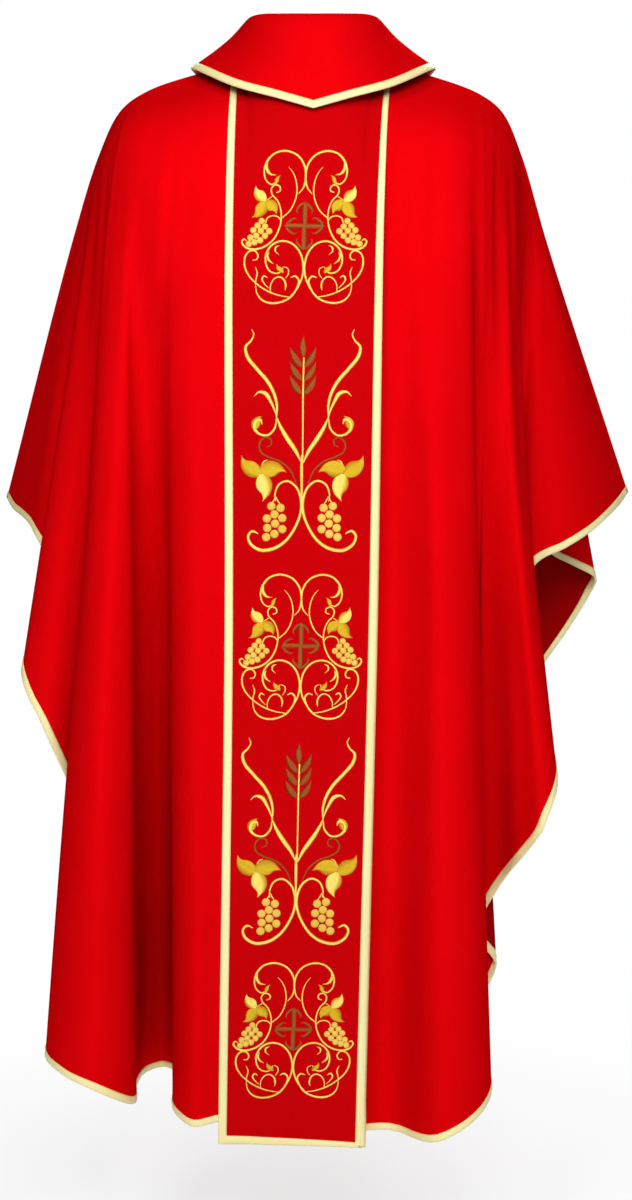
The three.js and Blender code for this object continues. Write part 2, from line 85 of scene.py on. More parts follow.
def add_node(tree, kind, inputs=(), **settings):
    """A new node with its settings; an input is given a value, or another node's output."""
    made = tree.nodes.new(kind)
    for name, value in settings.items():
        setattr(made, name, value)
    for name, value in dict(inputs).items():
        if isinstance(value, bpy.types.NodeSocket):
            tree.links.new(value, made.inputs[name])
        else:
            made.inputs[name].default_value = value
    return made


# The walls of the studio are seen as white, and give a dim even light.
WALL_LIGHT = 0.12
world = bpy.data.worlds.new("studio")
world.use_nodes = True
studio = world.node_tree
seen = add_node(studio, "ShaderNodeLightPath").outputs["Is Camera Ray"]
strength = add_node(
    studio, "ShaderNodeMapRange", {"Value": seen, "To Min": WALL_LIGHT, "To Max": 1.0}
)
studio.nodes["Background"].inputs["Color"].default_value = (1, 1, 1, 1)
studio.links.new(strength.outputs["Result"], studio.nodes["Background"].inputs["Strength"])
scene.world = world


def new_mesh(name, verts, faces, material=None):
    """A smooth-shaded object made from numpy points and a list of faces."""
    mesh = bpy.data.meshes.new(name)
    mesh.from_pydata(np.asarray(verts, float).tolist(), [], [tuple(map(int, f)) for f in faces])
    mesh.shade_smooth()
    mesh.update()
    made = bpy.data.objects.new(name, mesh)
    scene.collection.objects.link(made)
    if material:
        mesh.materials.append(material)
    return made


def shader(name, base, roughness, specular=0.3, tint=(1, 1, 1), sheen=0.0):
    """A material with plain values on its sockets; returns it, its shader and its node tree."""
    made = bpy.data.materials.new(name)
    made.use_nodes = True
    made.diffuse_color = (*base, 1)
    surface = made.node_tree.nodes["Principled BSDF"]
    for socket, value in (
        ("Base Color", (*base, 1)), ("Roughness", roughness),
        ("Specular IOR Level", specular), ("Specular Tint", (*tint, 1)),
        ("Sheen Weight", sheen), ("Sheen Roughness", 0.4), ("Sheen Tint", (*tint, 1)),
    ):
        surface.inputs[socket].default_value = value
    return made, surface, made.node_tree


# The floor is pale and plain, and fades into the white behind it away from the garment.
FLOOR_REACH, FADE_FROM, FADE_TO = 6.0, 0.3, 1.3  # metres from its middle
FLOOR_GLOW = 0.6  # share of plain white in the floor under the garment, so its shadow stays faint
FLOOR_GREY = (0.86, 0.86, 0.86)
FLOOR_CORNERS = 64
turns = np.linspace(0, 2 * math.pi, FLOOR_CORNERS, endpoint=False)
floor_verts = [(FLOOR_REACH * math.cos(t), FLOOR_REACH * math.sin(t), FLOOR_HEIGHT) for t in turns]
floor_paint, floor_surface, floor_tree = shader(
    "pale_floor_paint", FLOOR_GREY, roughness=0.9, specular=0.0
)
floor_place = add_node(floor_tree, "ShaderNodeTexCoord").outputs["Object"]
floor_far = add_node(
    floor_tree, "ShaderNodeVectorMath", {0: floor_place, 1: (0, 0, FLOOR_HEIGHT)},
    operation="DISTANCE",
)
floor_fade = add_node(
    floor_tree, "ShaderNodeMapRange",
    {"Value": floor_far.outputs["Value"], "From Min": FADE_FROM, "From Max": FADE_TO,
     "To Min": FLOOR_GLOW},
    interpolation_type="SMOOTHSTEP",
)
floor_seen = add_node(floor_tree, "ShaderNodeLightPath").outputs["Is Camera Ray"]
floor_part = add_node(
    floor_tree, "ShaderNodeMath", {0: floor_fade.outputs["Result"], 1: floor_seen},
    operation="MULTIPLY",
)
floor_glow = add_node(floor_tree, "ShaderNodeEmission").outputs["Emission"]
floor_mix = add_node(
    floor_tree, "ShaderNodeMixShader",
    {"Fac": floor_part.outputs[0], 1: floor_surface.outputs["BSDF"], 2: floor_glow},
)
floor_end = floor_tree.nodes["Material Output"].inputs["Surface"]
floor_tree.links.new(floor_mix.outputs["Shader"], floor_end)
floor = new_mesh("floor", floor_verts, [list(range(FLOOR_CORNERS))], floor_paint)

# ==== Cloth of the garment =====================================================================
# The two panels and the collar are a plain red crepe with a satin face, about a millimetre thick
# with its lining. It hangs in wide soft folds and shows a fine pebbled grain in the highlights.
CREPE_RED = (0.55, 0.0006, 0.0024)
CREPE_SHINE = (1.0, 0.02, 0.02)
CREPE_LUSTRE = 0.16  # share of the light that the satin face mirrors in its own colour
CREPE_GRAIN = 0.0011  # size of one pebble of the grain, metres
WAVE_SCALE = 0.314  # a wave texture's scale for waves a metre long


def grain_group():
    """Shared by the cloths: a pebbled crepe grain over faint crossing threads."""
    group = bpy.data.node_groups.new("crepe grain", "ShaderNodeTree")
    face = group.interface
    for name, value in (("Pebble", 0.001), ("Thread", 0.0005), ("Mix", 0.3)):
        face.new_socket(name, in_out="INPUT", socket_type="NodeSocketFloat").default_value = value
    for name in ("Height", "Mottle"):
        face.new_socket(name, in_out="OUTPUT", socket_type="NodeSocketFloat")
    given = add_node(group, "NodeGroupInput").outputs
    where = add_node(group, "ShaderNodeTexCoord").outputs["Object"]

    def per(socket, factor=1.0):
        rate = add_node(group, "ShaderNodeMath", {0: factor, 1: socket}, operation="DIVIDE")
        return rate.outputs[0]

    def noise(scale, detail):
        inputs = {"Vector": where, "Scale": scale, "Detail": detail}
        return add_node(group, "ShaderNodeTexNoise", inputs).outputs["Fac"]

    def wave(direction):
        inputs = {"Vector": where, "Scale": per(given["Thread"], WAVE_SCALE), "Distortion": 1.2,
                  "Detail": 1.0}
        made = add_node(group, "ShaderNodeTexWave", inputs, bands_direction=direction)
        return made.outputs["Fac"]

    woven = add_node(group, "ShaderNodeMath", {0: wave("X"), 1: wave("Z")}, operation="MAXIMUM")
    both = add_node(
        group, "ShaderNodeMix",
        {"Factor": given["Mix"], "A": noise(per(given["Pebble"]), 1.5), "B": woven.outputs[0]},
    )
    add_node(
        group, "NodeGroupOutput", {"Height": both.outputs["Result"], "Mottle": noise(9.0, 3.0)}
    )
    return group


GRAIN = grain_group()


def set_surface(tree, surface, height, strength, depth, share, tones):
    """Gives a surface its relief, and its colour as a share between two tones."""
    relief = {"Height": height, "Strength": strength, "Distance": depth}
    bump = add_node(tree, "ShaderNodeBump", relief)
    tree.links.new(bump.outputs["Normal"], surface.inputs["Normal"])
    colours = {"Factor": share, "A": (*tones[0], 1), "B": (*tones[1], 1)}
    tone = add_node(tree, "ShaderNodeMix", colours, data_type="RGBA")
    tree.links.new(tone.outputs["Result"], surface.inputs["Base Color"])


def add_grain(tree, surface, pebble, thread, mix, depth, tones):
    """Puts the grain into a material: its relief, and a faint change of tone between two colours."""
    sizes = {"Pebble": pebble, "Thread": thread, "Mix": mix}
    grain = add_node(tree, "ShaderNodeGroup", sizes, node_tree=GRAIN)
    height, mottle = grain.outputs["Height"], grain.outputs["Mottle"]
    speck = add_node(tree, "ShaderNodeMix", {"Factor": 0.45, "A": mottle, "B": height})
    share = speck.outputs["Result"]
    set_surface(tree, surface, height, strength=0.8, depth=depth, share=share, tones=tones)


def two_tones(colour, darker, lighter):
    """A colour made darker and lighter."""
    return [tuple(min(c * share, 1) for c in colour) for share in (darker, lighter)]


crepe, crepe_surface, crepe_tree = shader(
    "red_satin_crepe", CREPE_RED, roughness=0.5, specular=0.0, tint=CREPE_SHINE
)
crepe_surface.inputs["Metallic"].default_value = CREPE_LUSTRE
add_grain(
    crepe_tree, crepe_surface, pebble=CREPE_GRAIN, thread=0.0006, mix=0.3, depth=0.00034,
    tones=two_tones(CREPE_RED, 0.86, 1.16),
)

# ==== Shape of the fall ========================================================================
# Each panel hangs in lines from its top edge: round the neck, over the shoulder and along the arm.
# A line turns over the shoulder to its yoke point and falls to the hem as a crest, an edge or the
# floor of a fold. The panels meet in a seam from the neck to the cuff and are open below it.
MM = 0.001  # from here on lengths are in millimetres, where nothing else is said
GAP = 0.3  # between the panels at the seam
NECK = {"half": 75, "back": 78, "front": 95, "drop": 62}
SEAM_KNOTS = {
    -1: [(-75, 0, 0), (-150, 0, -16), (-204, 0, -35), (-235, 9, -56), (-265, 36, -108),
         (-300, 66, -205), (-405, 200, -536)],
    1: [(75, 0, 0), (150, 0, -18), (203, 0, -38), (230, 8, -58), (256, 30, -108),
        (291, 58, -213), (410, 165, -528)],
}
SEAM_TURN, SEAM_END = 6, 7
SEAM_STEP = 0.25  # places to either side of a point, between which the seam's direction is taken
# place on the top edge, yoke x y z, hem x y z, bow to the right, facets to the next line
BACK_ROWS = [
    (-6, 0, 0, 0, 0, 0, 0, 0, 1),  # left seam
    (-5.85, -314, 80, -262, -392, 160, -549, 0, 2),  # left cuff
    (-5.7, -310, 70, -258, -376, 124, -557, 0, 1),  # left sleeve
    (-5.55, -305, 60, -254, -362, 94, -566, 0, 2),  # left sleeve crest
    (-5.4, -299, 49, -248, -349, 72, -586, 0, 1),  # left sleeve lip
    (-5.28, -292, 39, -242, -330, 64, -625, 0, 2),  # first fold side
    (-5.15, -285, 28, -234, -314, 48, -672, 0, 2),  # first fold floor
    (-5, -282, 14, -226, -334, 22, -712, 0, 2),  # second fold back
    (-4.84, -279, 1, -218, -359, 7, -735, 0, 2),  # second fold edge
    (-4.68, -274, -9, -213, -358, -10, -764, 0, 1),  # second fold turn
    (-4.5, -266, -20, -210, -336, -22, -808, 0, 2),  # second fold crest
    (-4.25, -258, -38, -208, -304, -6, -886, 0, 2),  # second fold side
    (-4, -250, -50, -210, -272, 30, -970, 0, 2),  # second fold inside
    (-3.82, -245, -58, -212, -250, 54, -1030, 0, 2),  # third fold floor
    (-3.7, -242, -62, -212, -236, 36, -1076, 0, 2),  # third fold turn
    (-3.56, -242, -67, -210, -262, 0, -1142, 0, 2),  # third fold back
    (-3.4, -246, -73, -205, -331, -50, -1211, 0, 2),  # third fold edge
    (-3.2, -238, -82, -206, -306, -102, -1226, 0, 2),  # third fold face
    (-3, -228, -90, -208, -266, -122, -1240, 0, 2),  # third fold crest
    (-2.8, -219, -96, -212, -224, -80, -1270, 0, 2),  # third fold side
    (-2.66, -211, -100, -214, -228, 36, -1281, 0, 1),  # left trough side
    (-2.5, -202, -103, -216, -222, 100, -1283, 0, 2),  # left trough corner
    (-2.36, -190, -106, -217, -200, 120, -1282, 0, 2),  # left trough floor
    (-2.22, -180, -109, -217, -182, 94, -1281, 0, 1),  # left trough back
    (-2.1, -173, -111, -216, -177, 20, -1282, 0, 2),  # fourth fold back
    (-2, -165, -113, -215, -171, -62, -1285, 0, 2),  # fourth fold edge
    (-1.7, -142, -117, -210, -146, -100, -1292, 0, 2),  # fourth fold crest
    (-1.26, -102.5, -119, -205, -116.5, -90, -1289, 3, 1),  # band left edge
    (-1.13, -92.5, -120, -204, -106, -90, -1290, 3, 1),  # band left tape
    (-1, -78, -121, -202, -89, -90, -1291, 2, 2),  # neck left
    (-0.5, -45, -122, -198, -59, -89, -1294, 1, 2),  # back left
    (0, -10, -122, -196, -28, -88, -1297, 0, 2),  # middle
    (0.5, 26, -122, -198, 4, -88, -1300, 0, 2),  # back right
    (1, 57, -121, -202, 33, -88, -1303, 1, 1),  # neck right
    (1.12, 70.5, -120, -203, 49.5, -88, -1305, 2, 1),  # band right tape
    (1.25, 80.5, -119, -205, 60, -88, -1306, 2, 2),  # band right edge
    (1.6, 106, -114, -208, 92, -68, -1310, 1, 2),  # right trough
    (2, 136, -110, -212, 150, -128, -1302, 0, 2),  # fifth fold crest
    (2.25, 166, -104, -213, 200, -108, -1277, 0, 2),  # fifth fold side
    (2.5, 184, -95, -212, 221, -58, -1253, 0, 2),  # fifth fold edge
    (2.65, 190, -90, -213, 196, 6, -1242, 0, 1),  # fifth fold back
    (2.78, 194, -86, -214, 176, 46, -1228, 0, 2),  # right trough side
    (2.89, 198, -83, -214, 186, 78, -1206, 0, 2),  # right trough floor
    (3, 202, -80, -213, 221, 74, -1168, -11, 1),  # inner fold edge
    (3.1, 205, -77, -213, 233, 62, -1130, -11, 2),  # inner fold turn
    (3.24, 209, -73, -213, 208, 40, -1086, -1, 2),  # inner fold back
    (3.4, 214, -68, -212, 236, 18, -1016, 0, 2),  # sixth fold side
    (3.7, 223, -57, -208, 262, -14, -974, -4, 2),  # sixth fold face
    (4, 234, -43, -200, 284, -41, -932, -9, 2),  # sixth fold crest
    (4.22, 243, -30, -190, 300, -26, -884, -13, 2),  # sixth fold edge
    (4.42, 248, -17, -188, 299, 4, -852, -11, 2),  # sixth fold turn
    (4.62, 251, -5, -200, 272, 22, -812, -6, 2),  # sixth fold back
    (4.8, 254, 5, -211, 248, 40, -766, 0, 2),  # right sleeve inside
    (4.9, 258, 12, -218, 238, 60, -726, 0, 2),  # right sleeve floor
    (5, 263, 19, -225, 252, 74, -690, 0, 2),  # right sleeve side
    (5.2, 272, 27, -240, 280, 43, -612, 0, 2),  # right sleeve lip
    (5.45, 284, 34, -252, 318, 50, -593, 0, 1),  # right sleeve crest
    (5.57, 293, 40, -260, 352, 74, -574, 0, 2),  # right sleeve
    (5.72, 300, 48, -262, 386, 118, -549, 0, 2),  # right cuff
    (6, 0, 0, 0, 0, 0, 0, 0, 0),  # right seam
]
FRONT_ROWS = [
    (-6, 0, 0, 0, 0, 0, 0, 0, 1),  # left seam
    (-5.82, -316, 101, -264, -399, 219, -549, 0, 1),  # left cuff
    (-5.66, -312, 108, -260, -380, 228, -568, 0, 2),  # left sleeve
    (-5.52, -306, 108, -256, -350, 202, -592, 0, 1),  # left sleeve side
    (-5.4, -300, 107, -251, -325, 195, -603, 0, 1),  # first fold inside
    (-5.3, -295, 107, -248, -311, 206, -616, 0, 2),  # first fold floor
    (-5.2, -291, 108, -244, -323, 228, -640, 0, 2),  # first fold back
    (-5, -287, 110, -238, -346, 250, -692, 0, 2),  # first fold edge
    (-4.8, -280, 113, -232, -336, 273, -728, 0, 2),  # first fold face
    (-4.5, -270, 114, -226, -304, 276, -772, 0, 2),  # first fold crest
    (-4.25, -260, 112, -222, -268, 248, -846, 0, 2),  # first fold side
    (-4, -251, 109, -220, -247, 202, -905, 0, 2),  # second fold inside
    (-3.76, -244, 106, -217, -240, 173, -956, 0, 2),  # second fold floor
    (-3.56, -238, 105, -215, -224, 160, -1000, 0, 2),  # second fold turn
    (-3.3, -230, 105, -214, -210, 182, -1050, 0, 2),  # second fold back
    (-3, -219, 107, -212, -208, 207, -1112, 0, 2),  # second fold edge
    (-2.75, -204, 108, -212, -194, 223, -1158, 0, 1),  # second fold crest
    (-2.55, -192, 109, -212, -177, 218, -1184, 0, 2),  # second fold face
    (-2.3, -174, 108, -213, -150, 174, -1204, 0, 2),  # second fold side
    (-2, -152, 107, -215, -122, 132, -1216, 0, 2),  # left trough
    (-1.7, -128, 110, -213, -92, 160, -1226, 0, 2),  # left middle side
    (-1.4, -106, 112, -211, -64, 186, -1233, 0, 2),  # left middle crest
    (-1, -76, 114, -208, -38, 170, -1236, 0, 2),  # neck left
    (-0.5, -38, 115, -206, -16, 150, -1238, 0, 1),  # front left
    (0, 0, 114, -205, 4, 144, -1238, 0, 1),  # middle
    (0.5, 38, 115, -206, 24, 151, -1237, 0, 2),  # front right
    (1, 76, 114, -208, 44, 170, -1235, 0, 2),  # neck right
    (1.4, 106, 112, -211, 69, 184, -1231, 0, 2),  # right middle crest
    (1.7, 128, 110, -213, 94, 158, -1223, 0, 2),  # right middle side
    (2, 153, 107, -215, 122, 132, -1214, 0, 2),  # right trough
    (2.3, 175, 108, -213, 150, 174, -1202, 0, 2),  # third fold side
    (2.55, 193, 109, -212, 178, 218, -1180, 0, 1),  # third fold face
    (2.75, 205, 108, -212, 196, 223, -1154, 0, 2),  # third fold crest
    (3, 220, 107, -212, 212, 207, -1104, 0, 2),  # third fold edge
    (3.3, 232, 105, -214, 215, 178, -1040, 0, 2),  # third fold back
    (3.56, 240, 105, -215, 228, 158, -984, 0, 2),  # third fold turn
    (3.76, 246, 106, -217, 244, 174, -936, 0, 2),  # third fold floor
    (4, 253, 109, -220, 258, 212, -868, 0, 2),  # fourth fold inside
    (4.25, 263, 112, -224, 296, 262, -790, 0, 2),  # fourth fold side
    (4.5, 274, 114, -228, 346, 270, -718, 0, 1),  # fourth fold crest
    (4.8, 284, 112, -234, 372, 260, -672, 0, 2),  # fourth fold face
    (5, 288, 108, -240, 378, 236, -647, 0, 2),  # fourth fold edge
    (5.2, 290, 104, -246, 346, 217, -627, 0, 2),  # fourth fold back
    (5.32, 292, 101, -249, 320, 210, -614, 0, 2),  # fourth fold floor
    (5.42, 294, 98, -252, 312, 198, -604, 0, 1),  # fourth fold turn
    (5.54, 298, 95, -256, 328, 188, -597, 0, 1),  # right sleeve side
    (5.68, 303, 91, -262, 376, 197, -572, 0, 1),  # right sleeve
    (5.83, 307, 84, -266, 402, 186, -545, 0, 1),  # right cuff
    (6, 0, 0, 0, 0, 0, 0, 0, 0),  # right seam
]
BAND_EDGES = (-1.26, 1.25)  # places of the band's edges on the back
LEVELS = [0, 0.03, 0.068, 0.11, 0.16, 0.225, 0.31, 0.44, 0.58, 0.72, 0.86, 1]
LEVEL_STEPS = 13  # finer levels between two of these
CELL_STEPS = 3  # finer columns in one facet's width
TURN_BULGE = 0.207  # of a line's turn over the shoulder, as a share of its chord
MIDDLE_SHARE = 0.45  # of the way from the yoke point to the hem, where a line bows
LINE_STEPS = 240  # for measuring one line's length


def spline(points, at):
    """A centripetal curve through points, taken at places counted in points."""
    points = np.asarray(points, float)
    at = np.clip(np.asarray(at, float), 0, len(points) - 1)
    first = np.minimum(at.astype(int), len(points) - 2)
    padded = np.concatenate([[2 * points[0] - points[1]], points, [2 * points[-1] - points[-2]]])
    x0, x1, x2, x3 = (padded[first + k] for k in range(4))
    step = lambda a, b: np.maximum(((a - b) ** 2).sum(-1, keepdims=True), 1e-12) ** 0.25
    d0, d1, d2 = step(x0, x1), step(x1, x2), step(x2, x3)
    t1 = ((x1 - x0) / d0 - (x2 - x0) / (d0 + d1) + (x2 - x1) / d1) * d1
    t2 = ((x2 - x1) / d1 - (x3 - x1) / (d1 + d2) + (x3 - x2) / d2) * d1
    w = (at - first).reshape(-1, *([1] * (points.ndim - 1)))
    return (x1 + t1 * w + (3 * (x2 - x1) - 2 * t1 - t2) * w**2
            + (2 * (x1 - x2) + t1 + t2) * w**3)


def seam_point(place, towards):
    """A point of the seam at a place from 1 to 7, half the gap to the panel's own side."""
    side = 1 if place > 0 else -1
    count = lambda p: min(max(abs(p), 1), SEAM_END) - 1
    at = [count(place), count(abs(place) + SEAM_STEP), count(abs(place) - SEAM_STEP)]
    line, ahead, behind = spline(SEAM_KNOTS[side], at)
    tangent = (ahead - behind) / np.linalg.norm(ahead - behind)
    across = np.array((0, 1, 0)) - tangent * tangent[1]
    return line + across / np.linalg.norm(across) * towards * GAP / 2


def top_edge(place, towards):
    """A point of a panel's top edge: round the neck, then along the seam."""
    if abs(place) >= 1:
        return seam_point(place, towards)
    angle = place * math.pi / 2
    reach = NECK["back"] if towards < 0 else NECK["front"]
    drop = 0 if towards < 0 else NECK["drop"] * math.cos(angle) ** 2
    return np.array((NECK["half"] * math.sin(angle), towards * reach * math.cos(angle), -drop))


def length_along(line):
    """Lengths along a line of points, from its first one."""
    return np.concatenate([[0], np.cumsum(np.linalg.norm(np.diff(line, axis=0), axis=1))])


def fall_line(row, towards, levels):
    """One line of the fall, taken at the given shares of its length."""
    place, yoke, hem, bow = row[0], np.array(row[1:4]), np.array(row[4:7]), row[7]
    if abs(place) == SEAM_TURN:
        side = math.copysign(1, place)
        run = SEAM_END - SEAM_TURN
        return np.array([seam_point(side * (SEAM_TURN + run * s), towards) for s in levels])
    top = top_edge(place, towards)
    arc = min(max(SEAM_TURN - 0.5 - abs(place), 0), 1) * TURN_BULGE
    turn = top + (yoke - top) * np.array((0.5, 0.5 + arc, 0.5 - arc))
    middle = yoke + (hem - yoke) * MIDDLE_SHARE + np.array((bow, 0, 0))
    knots = [top, turn, yoke, middle, hem]
    fine = np.linspace(0, len(knots) - 1, LINE_STEPS + 1)
    run = length_along(spline(knots, fine))
    return spline(knots, np.interp(levels * run[-1], run, fine))


def grid_normals(grid, towards):
    """Unit normals of a grid of points, away from the wearer."""
    across, down = np.gradient(grid, axis=0), np.gradient(grid, axis=1)
    normal = np.cross(across, down) * towards
    return normal / np.linalg.norm(normal, axis=-1, keepdims=True)


def drape(rows, towards):
    """A panel as a fine grid, from left to right and from the top edge down, with its places."""
    count = np.arange((len(LEVELS) - 1) * LEVEL_STEPS + 1) / LEVEL_STEPS
    levels = np.interp(count, np.arange(len(LEVELS)), LEVELS)
    lines = np.array([fall_line(row, towards, levels) for row in rows], float)
    knots = [0.0]
    for i, row in enumerate(rows[:-1]):
        steps = row[8] * CELL_STEPS
        knots += [i + (s + 1) / steps for s in range(steps)]
    grid = spline(lines, knots)
    places = np.interp(knots, np.arange(len(rows)), [row[0] for row in rows])
    tops = np.array([top_edge(p, towards) for p in places])
    ease = np.maximum(1 - 4 * levels, 0) ** 2  # the top quarter is drawn to the exact edge
    grid += (tops - grid[:, 0])[:, None, :] * ease[None, :, None]
    return grid, places, levels


def run_lengths(grid, axis):
    """Lengths along a grid in one direction, from its first line."""
    steps = np.linalg.norm(np.diff(grid, axis=axis), axis=-1)
    pad = [(1, 0), (0, 0)] if axis == 0 else [(0, 0), (1, 0)]
    return np.cumsum(np.pad(steps, pad), axis=axis)


def set_cut(made, flat):
    """Writes two numbers for each point of a mesh on its UV layer cut."""
    layer = made.data.uv_layers.new(name="cut")
    index = np.empty(len(made.data.loops), int)
    made.data.loops.foreach_get("vertex_index", index)
    layer.data.foreach_set("uv", flat[index].ravel())


def shell(name, grid, normals, out, back, material, around=False):
    """A closed wall over a grid in millimetres, from back behind it to out before it."""
    columns, levels = grid.shape[:2]
    c, l = np.meshgrid(np.arange(columns if around else columns - 1), np.arange(levels - 1),
                       indexing="ij")
    n = (c + 1) % columns
    a, b = (c * levels + l).ravel(), (n * levels + l).ravel()
    face = np.stack([a, b, b + 1, a + 1], 1)
    rear = face[:, ::-1] + columns * levels
    ring = np.arange(columns + 1) % columns if around else np.arange(columns)
    rims = [ring * levels, ring[::-1] * levels + levels - 1]
    if not around:
        rims += [(columns - 1) * levels + np.arange(levels), np.arange(levels)[::-1]]
    edge = np.concatenate([np.stack([r[:-1], r[1:]], 1) for r in rims])
    sides = np.stack([edge[:, 1], edge[:, 0], *(edge.T + columns * levels)], 1)
    faces = np.concatenate([face, rear, sides])
    verts = np.concatenate([(grid + normals * out).reshape(-1, 3),
                            (grid - normals * back).reshape(-1, 3)]) * MM
    a0, b0, c0 = verts[face[:, 0]], verts[face[:, 1]], verts[face[:, 2]]
    facing = (np.cross(b0 - a0, c0 - a0) * normals.reshape(-1, 3)[face[:, 0]]).sum()
    if facing < 0:
        faces = faces[:, ::-1]
    made = new_mesh(name, verts, faces, material)
    u = run_lengths(grid, 0).mean(1)[:, None] * np.ones((1, levels))
    v = run_lengths(grid, 1)
    flat = np.stack([u, -v], -1).reshape(-1, 2) * MM
    set_cut(made, np.concatenate([flat, flat]))
    sharp = made.data.attributes.new("sharp_edge", "BOOLEAN", "EDGE")
    ends = np.empty(len(made.data.edges) * 2, int)
    made.data.edges.foreach_get("vertices", ends)
    ends = ends.reshape(-1, 2)
    rim = set(map(tuple, np.sort(edge, 1))) | set(map(tuple, np.sort(edge, 1) + columns * levels))
    sharp.data.foreach_set("value", [tuple(sorted(e)) in rim for e in ends.tolist()])
    return made


# ==== Back panel and front panel ===============================================================
# Each is one wide piece of crepe, cut to a full curve at the hem, over a thin matt lining of a
# deeper red, which shows inside the sleeves and below the front's hem. The lining's deep red is
# partly painted shade, darkening the inner faces where the sleeves shade them.
CLOTH_OUT, CLOTH_BACK = 0.8, 0.7  # from the middle of the wall
# the lining's colour, made darker as painted shade for the inside of the sleeves
LINING_SHADE_RED = (0.26, 0.0008, 0.0016)

# shallow creases between the folds: waves to one place, lean, height, start
CREASES = [(1.3, 0.5, 1.7, 0.4), (2.1, -0.9, 0.9, 2.2), (3.4, 1.4, 0.45, 4.0)]
CREASE_SWELL = (0.6, 0.4, 0.37, -1.1)  # share that stays, share that swells, its waves, its lean
CREASE_FADE = (1.3, 1.9, 5.2, 5.8)  # places where they begin and end on either side
CREASE_START = (0.05, 0.15)  # where they begin on the fall and how soon they are whole, as shares
# the valley along the band's right edge: how near its floor lies, depth, width in places
BAND_VALLEY = (0.4, 14.0, 0.95)
VALLEY_START = (0.1, 0.25)


def creases(places, levels):
    """Heights of the creases, which run down the cloth and come and go, and of the valley."""
    place, level = np.meshgrid(places, levels, indexing="ij")

    def wave(waves, lean, start):
        return np.sin(2 * math.pi * (waves * place + lean * level) + start)

    def from_top(start, length):
        return np.clip((level - start) / length, 0, 1)

    stays, swells, rate, slope = CREASE_SWELL
    rise = sum(
        high * wave(waves, lean, start) * (stays + swells * wave(rate, slope, 3 * start))
        for waves, lean, high, start in CREASES
    )
    begin, full, last, end = CREASE_FADE
    away = np.clip((np.abs(place) - begin) / (full - begin), 0, 1)
    away *= np.clip((end - np.abs(place)) / (end - last), 0, 1) * from_top(*CREASE_START)
    rise *= away**2 * (3 - 2 * away)
    near, deep, wide = BAND_VALLEY
    beside = np.clip((place - BAND_EDGES[1]) / wide, 0, 1)
    run = from_top(*VALLEY_START)
    return rise - deep * np.sin(math.pi * beside**near) ** 2 * run


back, back_places, panel_levels = drape(BACK_ROWS, -1)
front, front_places, _ = drape(FRONT_ROWS, 1)
back += grid_normals(back, -1) * creases(back_places, panel_levels)[..., None]
front += grid_normals(front, 1) * creases(front_places, panel_levels)[..., None]
back_normals, front_normals = grid_normals(back, -1), grid_normals(front, 1)
back_cloth = shell("back_panel_cloth", back, back_normals, CLOTH_OUT, CLOTH_BACK, crepe)
front_cloth = shell("front_panel_cloth", front, front_normals, CLOTH_OUT, CLOTH_BACK, crepe)

shaded_lining, shaded_lining_surface, shaded_lining_tree = shader(
    "lining_painted_shade_red", LINING_SHADE_RED, roughness=0.75, specular=0.0
)
add_grain(
    shaded_lining_tree, shaded_lining_surface, pebble=0.0009, thread=0.0005, mix=0.7, depth=0.00015,
    tones=two_tones(LINING_SHADE_RED, 0.88, 1.12),
)
# the inner faces take the lining, whose dark red is partly painted shade
for piece, grid in ((back_cloth, back), (front_cloth, front)):
    piece.data.materials.append(shaded_lining)
    outer = (grid.shape[0] - 1) * (grid.shape[1] - 1)  # faces of the outer side, which come first
    inner = np.zeros(len(piece.data.polygons), int)
    inner[outer:2 * outer] = 1
    piece.data.polygons.foreach_set("material_index", inner)
for piece, node in ((back_cloth, "back_panel"), (front_cloth, "front_panel")):
    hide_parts(node)
    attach(piece, "root")

# ==== Binding tape =============================================================================
# A folded cream-gold satin tape, about eight millimetres wide on each face, is sewn over the hem,
# the collar's edge and the sides and foot of the band, with one row of stitches near its edge.
TAPE_WIDTH = 8.5
TAPE_ROWS = 5  # points across one face of the tape
TAPE_STAND, TAPE_SWELL, TAPE_RIM = 0.75, 0.2, 0.45  # height: at the edge, more between, at its rim
TAPE_SLACK = 0.05  # between the tape's inner face and what it clasps
TAPE_GOLD = (0.66, 0.56, 0.22)
TAPE_CREAM = (0.78, 0.74, 0.40)
TAPE_GLOSS = (1.0, 0.9, 0.6)
SEWING_GOLD = (0.50, 0.34, 0.08)
STITCH_PITCH = 3.4
STITCH_SIZE = (2.5, 0.55, 0.5)  # length, width and height
STITCH_LIFT = 0.62  # middle of a stitch over the face of what the tape clasps
STITCH_PLACE = 0.72  # across the tape, as a share of the way between its two last points

tape_satin, tape_surface, tape_tree = shader(
    "gold_satin_tape", TAPE_CREAM, roughness=0.38, specular=0.45, tint=TAPE_GLOSS, sheen=0.15
)
add_grain(
    tape_tree, tape_surface, pebble=0.0016, thread=0.0005, mix=0.75, depth=0.00012,
    tones=[TAPE_GOLD, TAPE_CREAM],
)


def surface_tree(grid):
    """A search tree on a grid of points in millimetres."""
    columns, levels = grid.shape[:2]
    c, l = np.meshgrid(np.arange(columns - 1), np.arange(levels - 1), indexing="ij")
    a = (c * levels + l).ravel()
    quads = np.stack([a, a + levels, a + levels + 1, a + 1], 1)
    return BVHTree.FromPolygons(grid.reshape(-1, 3).tolist(), quads.tolist())


def smooth_along(values, passes, around=False):
    """Evens out a row of vectors along an edge."""
    for _ in range(passes):
        if around:
            values = (np.roll(values, 1, 0) + 2 * values + np.roll(values, -1, 0)) / 4
        else:
            inner = (values[:-2] + 2 * values[1:-1] + values[2:]) / 4
            values = np.concatenate([values[:1], inner, values[-1:]])
    return values


